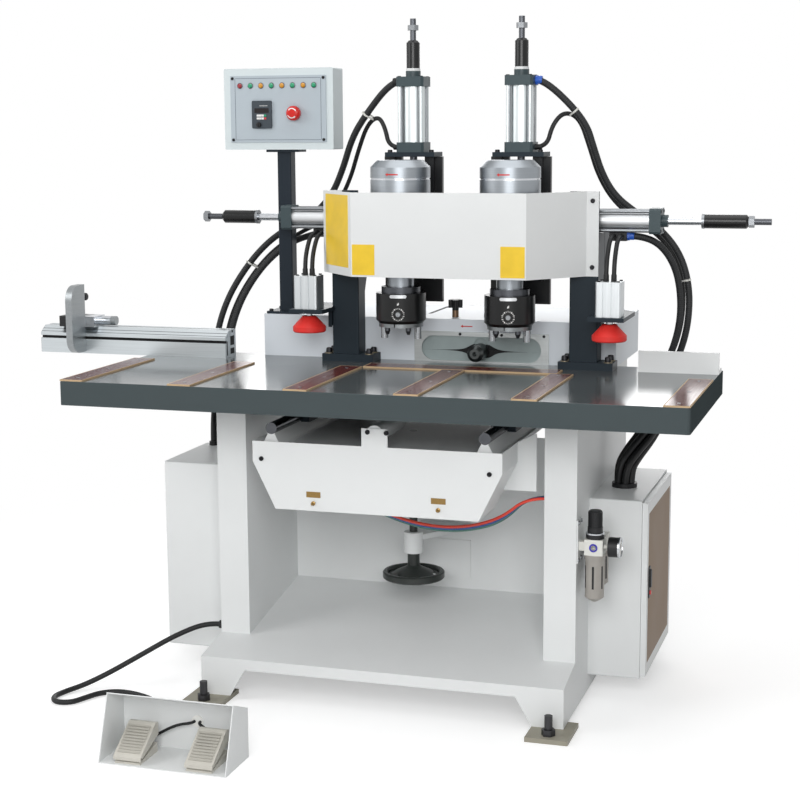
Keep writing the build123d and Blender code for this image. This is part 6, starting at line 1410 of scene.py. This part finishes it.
def make_timer():
    """The timer's window, rule, keys and selector."""
    x, y, z = BOX_X - 46, PANEL_Y - 7, 1510.0
    key = {"length": 6.4, "width": 5.6, "height": 1.6}
    pitch, rows = 7.2, (-2.6, -10.4)
    *white_columns, last_column = [pitch * (i - 1.5) for i in range(4)]
    glass = material("timer_glass", plastic(tone(26, 20, 22), roughness=0.12, grain=100.0, depth=0.01))
    keys = material("timer_keys", plastic(tone(232, 232, 230), roughness=0.4))
    face = front_frame(x, y, z)
    piece("timer_window", "root", glass,
          lambda mesh: add_plate(mesh, face, rounded(42, 13, 1.5, (0, 11)), low=-0.5, high=0.8, edge=0.4))
    piece("timer_rule", "root", keys,
          lambda mesh: add_plate(mesh, face, rounded(24, 1.2, 0.4, (6, 24)), low=-0.2, high=0.3))
    places = [(x + across, y, z + row) for row in rows for across in white_columns]
    scatter("timer_keys", "root", "machine_white", keys, bar_tree, facing_front(*places), **key)
    for name, row, colour in (("start", rows[0], tone(40, 150, 110)), ("halt", rows[1], tone(196, 60, 66))):
        finish = material(f"timer_{name}_colour", plastic(colour))
        place = facing_front((x + last_column, y, z + row))
        scatter(f"timer_{name}_key", "root", "stop_red", finish, bar_tree, place, **key)
    centre = front_frame(x - 8, y, z - 28)

    def selector(mesh):
        add_turned(mesh, centre, [(0, -0.5), (7, -0.5), (7, 5), (6, 6.5), (0, 6.5)], sides=28)
        add_plate(mesh, centre, rounded(2, 12, 0.8), low=6, high=8.5, edge=0.5)
    piece("timer_selector", "root", material("selector_black", black_plastic), selector)


def make_panel():
    """The lamps' bezels, and the panel's screws and border line."""
    middle = (LAMP_COUNT - 1) / 2
    lamps = [(LAMP_ROW_X + (i - middle) * LAMP_PITCH, PANEL_Y, LAMP_Z) for i in range(LAMP_COUNT)]
    scatter("lamp_bezels", "root", "bright_chrome", material("bezel_steel", dark_steel), screw_tree,
            facing_front(*lamps), radius=8.2, height=2.0, sides=28, socket=6.7, socket_sides=28, floor=-0.6)
    corners = [(BOX_X + x, PANEL_Y, PANEL_Z + z) for x, z in four_corners(134, 84)]
    scatter("panel_screws", "root", "knob_black", material("screw_black", black_paint), screw_tree,
            facing_front(*corners), radius=4.2, height=2.6, socket=2.2, floor=1.2)
    half_width, half_height, line, sunk, raised = 126.6, 84, 1.2, -0.2, 0.25
    face = front_frame(BOX_X, PANEL_Y, PANEL_Z)

    def border(mesh):
        for y in (-half_height, half_height):
            add_plate(mesh, face, rounded(252, line, 0.4, (0, y)), sunk, raised)
        for x in (-half_width, half_width):
            add_plate(mesh, face, rounded(line, 167, 0.4, (x, 0)), sunk, raised)
    ink = material("panel_line", plastic(tone(96, 104, 116), roughness=0.5))
    piece("panel_border", "root", ink, border)


def make_stop_arrows():
    """Two arrows that run round the sloping rim of the stop button's face."""
    face_height, slope, slope_start = 26, 0.5, 10
    arc_length, steps = 95, 12
    button = front_frame(BOX_X + 50, PANEL_Y, 1513)

    def crown(turn, radius, height):
        """A place on the sloping rim."""
        depth = face_height - slope * (radius - slope_start) + height
        return button @ Vector((radius * cos(turn), radius * sin(turn), depth))

    def arrows(mesh):
        for start in (25, 205):
            arc = [radians(start + arc_length * i / steps) for i in range(steps + 1)]
            tip = arc[-1]
            stem = [(turn, 11.6, 14.2) for turn in arc]
            add_strip(mesh, crown, stem + [(tip + 0.01, 10.4, 15.6), (tip + 0.4, 12.8, 13.0)], 0.25)
    piece("stop_arrows", "emergency_stop", material("stop_ink", plastic(PALE_WHITE)), arrows)


def shift_ends(side):
    """The inner and outer end of a shift cylinder's barrel."""
    return sorted(SHIFT_BARREL[side], key=lambda x: x * OUTWARD[side])


def make_tie_rods(side, finish):
    """The rods at the corners that hold the two caps of each cylinder together."""
    sunk = 0.5

    def rod_profile(radius, length):
        return [(0, -sunk), (radius, -sunk), (radius, length + sunk), (0, length + sunk)]

    def feed_rods(mesh):
        low, high = FEED_BARREL
        for across, deep in four_corners(27, 27):
            hold = frame_at(spot(HEAD_X[side] + across, FEED_Y + deep, low), UP, RIGHT)
            add_turned(mesh, hold, rod_profile(5.0, high - low), sides=24)

    def shift_rods(mesh):
        inner, outer = shift_ends(side)
        for deep, rise in four_corners(25, 25):
            hold = frame_at(spot(inner, SHIFT_Y + deep, SHIFT_Z + rise), (OUTWARD[side], 0, 0), UP)
            add_turned(mesh, hold, rod_profile(4.6, abs(outer - inner)), sides=20)
    piece(side + "_feed_tie_rods", side + "_carriage", finish, feed_rods)
    piece(side + "_shift_tie_rods", "root", finish, shift_rods)


def make_fixings():
    """Screws, bolts and washers that repeat over the machine, and the cylinders' tie rods."""
    black = material("fixing_black", black_steel)
    steel = material("fixing_steel", bright_steel)
    washer = material("fixing_dull", washer_steel)

    def screws(name, places, body="root", finish=black, **sizes):
        scatter(name, body, "bare_steel", finish, screw_tree, places, **sizes)

    flange = [(centre + x, 570 + y, 860) for centre in (-208, 452) for x, y in four_corners(58, 20)]
    screws("flange_washers", facing_up(*flange), finish=washer,
           radius=12.0, height=2.4, sides=32, socket=8.0, socket_sides=32, floor=-1.0)
    screws("flange_screws", facing_up(*flange), radius=8.5, height=15.0, socket=4.4, floor=7.0)
    strips = [(x, y, STRIP_TOP) for x in STRIP_CENTRES for y in (40, 215, 390)]
    screws("strip_screws", facing_up(*strips), finish=steel,
           radius=5.0, height=0.8, socket=1.6, socket_sides=4, floor=0.3)
    window = [(WINDOW_X + x, 601, 917) for x in (-175, -58, 58, 175)]
    screws("window_screws", facing_front(*window), radius=4.0, height=2.6, socket=2.0, floor=1.2)
    sheet_screw = {"radius": 6.0, "height": 4.0, "socket": 3.0, "floor": 1.8}
    apron = [(-298, APRON_Y, 643), (300, APRON_Y, 635), (-12.7, APRON_Y, 725), (36.4, APRON_Y, 725)]
    screws("apron_screws", facing_front(*apron), "knee", **sheet_screw)
    cover = [(466, 543, z) for z in (1110, 1282)]
    screws("cover_screws", facing_front(*cover), **sheet_screw)
    for side, x in HEAD_X.items():
        carriage = side + "_carriage"
        make_tie_rods(side, steel)
        caps = [(x + across, FEED_Y + deep, FEED_TOP) for across, deep in four_corners(30, 30)]
        screws(side + "_tie_rod_screws", facing_up(*caps), carriage,
               radius=5.0, height=1.8, socket=2.6, floor=0.4)
        shelf = [(x + across, 570, 1407) for across in (-58, 58)]
        screws(side + "_shelf_screws", facing_up(*shelf), carriage,
               radius=6.5, height=6.5, socket=3.2, floor=3.0)
        way = OUTWARD[side]
        end = shift_ends(side)[1] + way * SHIFT_CAP
        heads = [
            (spot(end, SHIFT_Y + deep, SHIFT_Z + rise), (way, 0, 0), UP)
            for deep, rise in four_corners(25, 25)
        ]
        screws(side + "_shift_screws", heads, radius=4.6, height=1.6, socket=2.4, floor=0.4)
        tops = [(CLAMP_X[side] + across, CLAMP_Y + deep, CLAMP_TOP) for across, deep in four_corners(25, 22)]
        screws(side + "_clamp_screws", facing_up(*tops), radius=4.5, height=3.0, socket=2.4, floor=1.2)
    cap_screw = {"radius": 6.0, "height": 6.0, "socket": 3.0, "floor": 2.8}
    post = [(-426 + across, 660 + deep, 964) for across, deep in four_corners(38, 38)]
    screws("post_screws", facing_up(*post), **cap_screw)
    fence = [(x, 575, TABLE_TOP + 10) for x in (620, 695, 770)]
    screws("fence_screws", facing_up(*fence), **cap_screw)


def make_gauge(ink, chrome):
    """The pressure gauge's bezel and face, with ticks and a needle and no numbers."""
    x, y = 599, SERVICE[1]
    face_height, tick_count, tick_radius = 0.6, 13, 18.5
    dial = frame_at(spot(x, y, GAUGE_Z), RIGHT, BACK)
    bezel = [(22, -3), (26.5, -3), (26.5, 1.5), (25, 3), (22.5, 3), (22, 1)]
    piece("gauge_bezel", "root", chrome,
          lambda mesh: add_turned(mesh, dial, bezel, sides=48, ring=True))
    face = [(0, -0.5), (22.2, -0.5), (22.2, face_height), (0, face_height)]
    paper = material("gauge_paper", plastic(tone(238, 238, 234)))
    piece("gauge_face", "root", paper, lambda mesh: add_turned(mesh, dial, face, sides=48))
    centre = spot(x + face_height, y, GAUGE_Z)
    ticks = []
    for i in range(tick_count):
        angle = radians(-135 + 270 * i / (tick_count - 1))
        out = Vector((0, sin(angle), cos(angle)))
        ticks.append((centre + out * tick_radius * MM, RIGHT, out))
    scatter("gauge_ticks", "root", "knob_black", ink, bar_tree, ticks, length=4.0, width=0.9, height=0.3)
    pointing = Vector((0, -0.5, 0.86))
    needle = [(centre + pointing * 7 * MM, RIGHT, pointing)]
    scatter("gauge_needle", "root", "knob_black", ink, bar_tree, needle, length=20.0, width=1.2, height=0.8)


def make_service_details():
    """Gauge, blue inlet ring, bowl slots, ribs and band of the knob, and bracket screws of the air unit."""
    x, y = SERVICE
    chrome = material("gauge_chrome", chrome_plate)
    ink = material("gauge_ink", black_plastic)
    make_gauge(ink, chrome)
    inlet = front_frame(x, y - 23, GAUGE_Z)
    inlet_ring = [(6.6, -0.5), (10.5, -0.5), (10.5, 1.6), (9.8, 2.2), (6.6, 2.2)]
    blue = material("inlet_blue", plastic(tone(64, 58, 170), roughness=0.35))
    piece("inlet_ring", "root", blue,
          lambda mesh: add_turned(mesh, inlet, inlet_ring, sides=36, ring=True))
    slot_count, bowl_radius, bowl_top, bowl_pitch = 6, 23.7, 418, 56
    bowl_collar, bowl_ends = 16, 40
    slots = []
    for row, bowl_length in enumerate((122, 98)):
        slot_z = bowl_top - bowl_collar - (bowl_length - bowl_ends) / 2
        for i in range(slot_count):
            angle = tau * (i + 0.5) / slot_count
            out = Vector((cos(angle), sin(angle), 0))
            slots.append((spot(x, y + bowl_pitch * row, slot_z) + out * bowl_radius * MM, out, UP))
    # The bowl slots are black bars: painted shade in the openings of the bowl guards.
    scatter("bowl_slots", "root", "knob_black", ink, bar_tree, slots, length=58.0, width=5.0, height=0.6)
    rib_count, knob_radius, knob_z = 28, 16.8, 507
    ribs = []
    for i in range(rib_count):
        out = Vector((cos(tau * i / rib_count), sin(tau * i / rib_count), 0))
        ribs.append((spot(x, y, knob_z) + out * knob_radius * MM, out, UP))
    scatter("regulator_ribs", "regulator_knob", "knob_black", material("rib_black", black_plastic), bar_tree,
            ribs, length=36.0, width=1.6, height=1.3)
    band = frame_at(spot(x, y, 474), UP, RIGHT)
    band_ring = [(19.6, -4), (23.6, -4), (23.6, -1), (22.6, 0), (19.6, 0)]
    piece("regulator_band", "root", chrome,
          lambda mesh: add_turned(mesh, band, band_ring, sides=48, ring=True))
    screws = [(spot(497, y + across, 450 + rise), RIGHT, UP) for across, rise in four_corners(16, 48)]
    scatter("bracket_screws", "root", "bare_steel", material("bracket_screw_steel", bright_steel), screw_tree,
            screws, radius=5.0, height=3.5, socket=2.5, floor=1.6)


def make_door_details():
    """The cabinet door's latch with its red button."""
    hold = frame_at(spot(644.5, 443, 306), RIGHT, UP)

    def latch(mesh):
        add_plate(mesh, hold, rounded(84, 24, 5), low=-0.5, high=2.5, edge=1.0)
        add_plate(mesh, hold, rounded(48, 14, 4, (10, 0)), low=2.0, high=7.0, edge=1.5)
    piece("door_latch", "cabinet_door", material("latch_black", black_plastic), latch)
    red = material("latch_red", plastic(RED, roughness=0.35))
    button = rounded(12, 12, 5.5, (-28, 0))
    piece("latch_button", "cabinet_door", red,
          lambda mesh: add_plate(mesh, hold, button, low=2.0, high=6.0, edge=1.0))


def make_pedal_details():
    """Grip ribs across the sloping treadles."""
    treadle_front, treadle_low, treadle_depth, treadle_rise = -392, 20, 78.5, 58
    rib_count, rib_pitch, first_rib = 10, 8.2, 12
    rib = material("pedal_rib", rib_beige)
    slope = Vector((0, treadle_depth, treadle_rise)).normalized()
    out = Vector((0, -slope.z, slope.y))
    first_y = treadle_front + first_rib
    first_z = treadle_low + first_rib * slope.z / slope.y
    for side, x in PEDAL_X.items():
        steps = [rib_pitch * i for i in range(rib_count)]
        ribs = [(spot(x, first_y + step * slope.y, first_z + step * slope.z), out, RIGHT) for step in steps]
        scatter(side + "_pedal_ribs", side + "_pedal", "pedal_beige", rib, bar_tree, ribs,
                length=58.0, width=4.8, height=0.9)


# The curtain
CURTAIN_HALF = 176
CURTAIN_LOW, CURTAIN_HIGH = 841.0, 920.0
CURTAIN_ROWS = 10
SLIT_HALF = 134.0
SLIT_RISE = 18.4
SLIT_SEAM = 0.15
NOSE_HALF = 20.0
QUILL_ROOM = 19.0
QUILL_GAP = 17.6
SPINDLE_LIFT = 15.4


def parted(x):
    """How far the lips stand open: wide at the spindle, a thin line further out, shut at the ends."""
    beyond = max(abs(x) - NOSE_HALF, 0) / NOSE_HALF
    return SLIT_RISE / (1 + beyond ** 2) * max(1 - (x / SLIT_HALF) ** 2, 0)


def close_round_quill(x):
    """How far the inner lips stand open: only round the spindle."""
    return max(QUILL_ROOM ** 2 - x ** 2, 0) ** 0.5


def make_lip(name, finish, y, rise, swell, way):
    """One lip, from the slit to the curtain's edge. The upper one leaves room for the spindle's lift."""
    pitch, thickness = 2, 1.6
    edge = CURTAIN_HIGH if way > 0 else CURTAIN_LOW
    columns = []
    for x in range(-CURTAIN_HALF, CURTAIN_HALF + 1, pitch):
        opening = rise(x)
        if way > 0 and abs(x) < QUILL_ROOM:
            opening = max(opening, SPINDLE_LIFT + close_round_quill(x))
        start = SPINDLE_Z + way * (opening + SLIT_SEAM)
        bulge = swell * rise(x) / SLIT_RISE
        shares = [k / CURTAIN_ROWS for k in range(CURTAIN_ROWS + 1)]
        columns.append([
            (WINDOW_X + x, y - bulge * (1 - share) ** 2, start + (edge - start) * share) for share in shares
        ])
    made = piece(name, "root", finish, lambda mesh: add_sheet(mesh, columns, thickness), 80)
    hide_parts("rubber_curtain")
    spot(WINDOW_X, y, edge)
    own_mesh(made)


def make_flap(finish):
    """A small flap over the spindle."""
    y, half, thickness, hem = 608.0, 28.0, 1.2, 1
    low, high = SPINDLE_Z + QUILL_GAP, 918.0
    columns = [
        [(WINDOW_X + x, y, low + (high - low) * k / CURTAIN_ROWS) for k in range(CURTAIN_ROWS + 1)]
        for x in (-half, -half / 2, 0, half / 2, half)
    ]
    flap = piece("curtain_flap", None, finish,
                 lambda mesh: add_sheet(mesh, columns, thickness), 80)
    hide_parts("rubber_curtain")
    spot(WINDOW_X, y, high)
    spot(WINDOW_X, y, low + hem)
    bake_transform(flap)


def make_motor_shield(finish):
    """A black plate that hangs over the quill, close in front of the motor: painted shade behind the curtain.
    """
    y, thickness, steps = 738.5, 3, 12
    left, right, step_right = -390, 245, 190
    top, bottom, step_bottom = 56, -60, -30
    turns = [pi * i / steps for i in range(steps + 1)]
    arch = [(QUILL_GAP * cos(turn), QUILL_GAP * sin(turn)) for turn in turns]
    outline = [
        (QUILL_GAP, bottom), *arch, (-QUILL_GAP, bottom), (left, bottom), (left, top), (right, top),
        (right, step_bottom), (step_right, step_bottom), (step_right, bottom),
    ]
    place = front_frame(WINDOW_X, y, SPINDLE_Z)
    piece("motor_shield", "spindle_unit", finish,
          lambda mesh: add_plate(mesh, place, outline, 0, thickness))


def make_curtain():
    """The slit rubber curtain: two layers of lips, open round the spindle, and a flap."""
    lip_y, backing_y, lip_swell = 606.0, 610.4, 3.4
    grey = material("curtain_grey", curtain_grey)
    dark = material("curtain_dark", painted_shade_black)
    for way, side, keep in ((1, "upper", 0.28), (-1, "lower", 0.3)):
        make_lip(f"curtain_{side}_lip", grey, lip_y, parted, lip_swell, way)
        # The backing lips are flat black: painted shade that shows through the slit.
        make_lip(f"curtain_{side}_backing", dark, backing_y, close_round_quill, 0.0, way)
    make_flap(grey)
    make_motor_shield(dark)


# The studio


def hang_light(name, place, target, size, watts):
    """A large soft lamp that faces a place on the machine."""
    data = bpy.data.lights.new(name, "AREA")
    data.shape = "RECTANGLE"
    data.size, data.size_y = size
    data.energy = watts
    lamp = bpy.data.objects.new(name, data)
    turn = (spot(*target) - spot(*place)).to_track_quat("-Z", "Y").to_matrix().to_4x4()
    lamp.matrix_world = Matrix.Translation(spot(*place)) @ turn
    bpy.context.scene.collection.objects.link(lamp)


def seen_by(finish, first, *others):
    """One for rays of the kinds that are named, and nothing for the rest."""
    path = "ShaderNodeLightPath"
    result = finish.add(path, output=first)
    for ray in others:
        result = result.either(finish.add(path, output=ray))
    return result


def make_floor():
    """A pale floor that keeps the machine's shadow and turns white further out."""
    reach, white_from, white_to, glow_strength = 30, 0.9, 2.6, 0.4
    light_grey, pale_grey = (0.80, 0.80, 0.80), (0.84, 0.84, 0.84)
    data = bpy.data.meshes.new("floor")
    corners = [(-reach, -reach, 0), (reach, -reach, 0), (reach, reach, 0), (-reach, reach, 0)]
    data.from_pydata(corners, [], [(0, 1, 2, 3)])
    floor = bpy.data.objects.new("floor", data)
    bpy.context.scene.collection.objects.link(floor)
    pale = Finish("pale_floor")
    seen = seen_by(pale, "Is Camera Ray", "Is Glossy Ray")
    cloud = pale.noise(0.6, 3.0)
    ground = pale.shader(Base_Color=pale.mix(cloud, light_grey, pale_grey), Roughness=0.7)
    glow = pale.add("ShaderNodeEmission", inputs={"Color": (1, 1, 1), "Strength": seen * glow_strength})
    near = pale.add("ShaderNodeAddShader", inputs={0: ground, 1: glow})
    away = pale.add("ShaderNodeVectorMath", {"operation": "LENGTH"}, {0: pale.place()}, output="Value")
    fade = pale.add("ShaderNodeMapRange", {"interpolation_type": "SMOOTHSTEP"},
                    {"Value": away, "From Min": white_from, "From Max": white_to})
    white = pale.add("ShaderNodeEmission", inputs={"Color": (1, 1, 1), "Strength": 1.0})
    surface = pale.add("ShaderNodeMixShader", inputs={0: fade * seen, 1: near, 2: white})
    data.materials.append(pale.close(surface))


def make_surround():
    """A surround that is white to look at and gives only a part of that as light."""
    light = 0.3
    world = bpy.data.worlds.new("studio")
    world.use_nodes = True
    bpy.context.scene.world = world
    sky = Finish("studio", world.node_tree)
    seen = seen_by(sky, "Is Camera Ray", "Is Glossy Ray", "Is Transmission Ray")
    strength = seen * (1 - light) + light
    backdrop = sky.add("ShaderNodeBackground", inputs={"Color": (1, 1, 1), "Strength": strength})
    sky.add("ShaderNodeOutputWorld", inputs={"Surface": backdrop})


def make_studio():
    """Pale floor, white surround and soft lamps."""
    make_floor()
    make_surround()
    hang_light("front_lamp", (1000, -3800, 2300), (100, 400, 700), size=(2.6, 2.0), watts=104)
    hang_light("left_lamp", (-3200, -1600, 2600), (-100, 400, 900), size=(2.0, 2.0), watts=46)
    hang_light("back_lamp", (-900, 4600, 2400), (-100, 700, 700), size=(2.6, 2.0), watts=44)
    hang_light("top_lamp", (200, 200, 4200), (100, 400, 800), size=(3.0, 3.0), watts=40)
    bpy.context.scene.view_settings.view_transform = "Standard"


place_camera()
lay_hoses()
dress_nodes()
make_marks()
make_timer()
make_panel()
make_stop_arrows()
make_fixings()
make_service_details()
make_door_details()
make_pedal_details()
make_curtain()
make_studio()
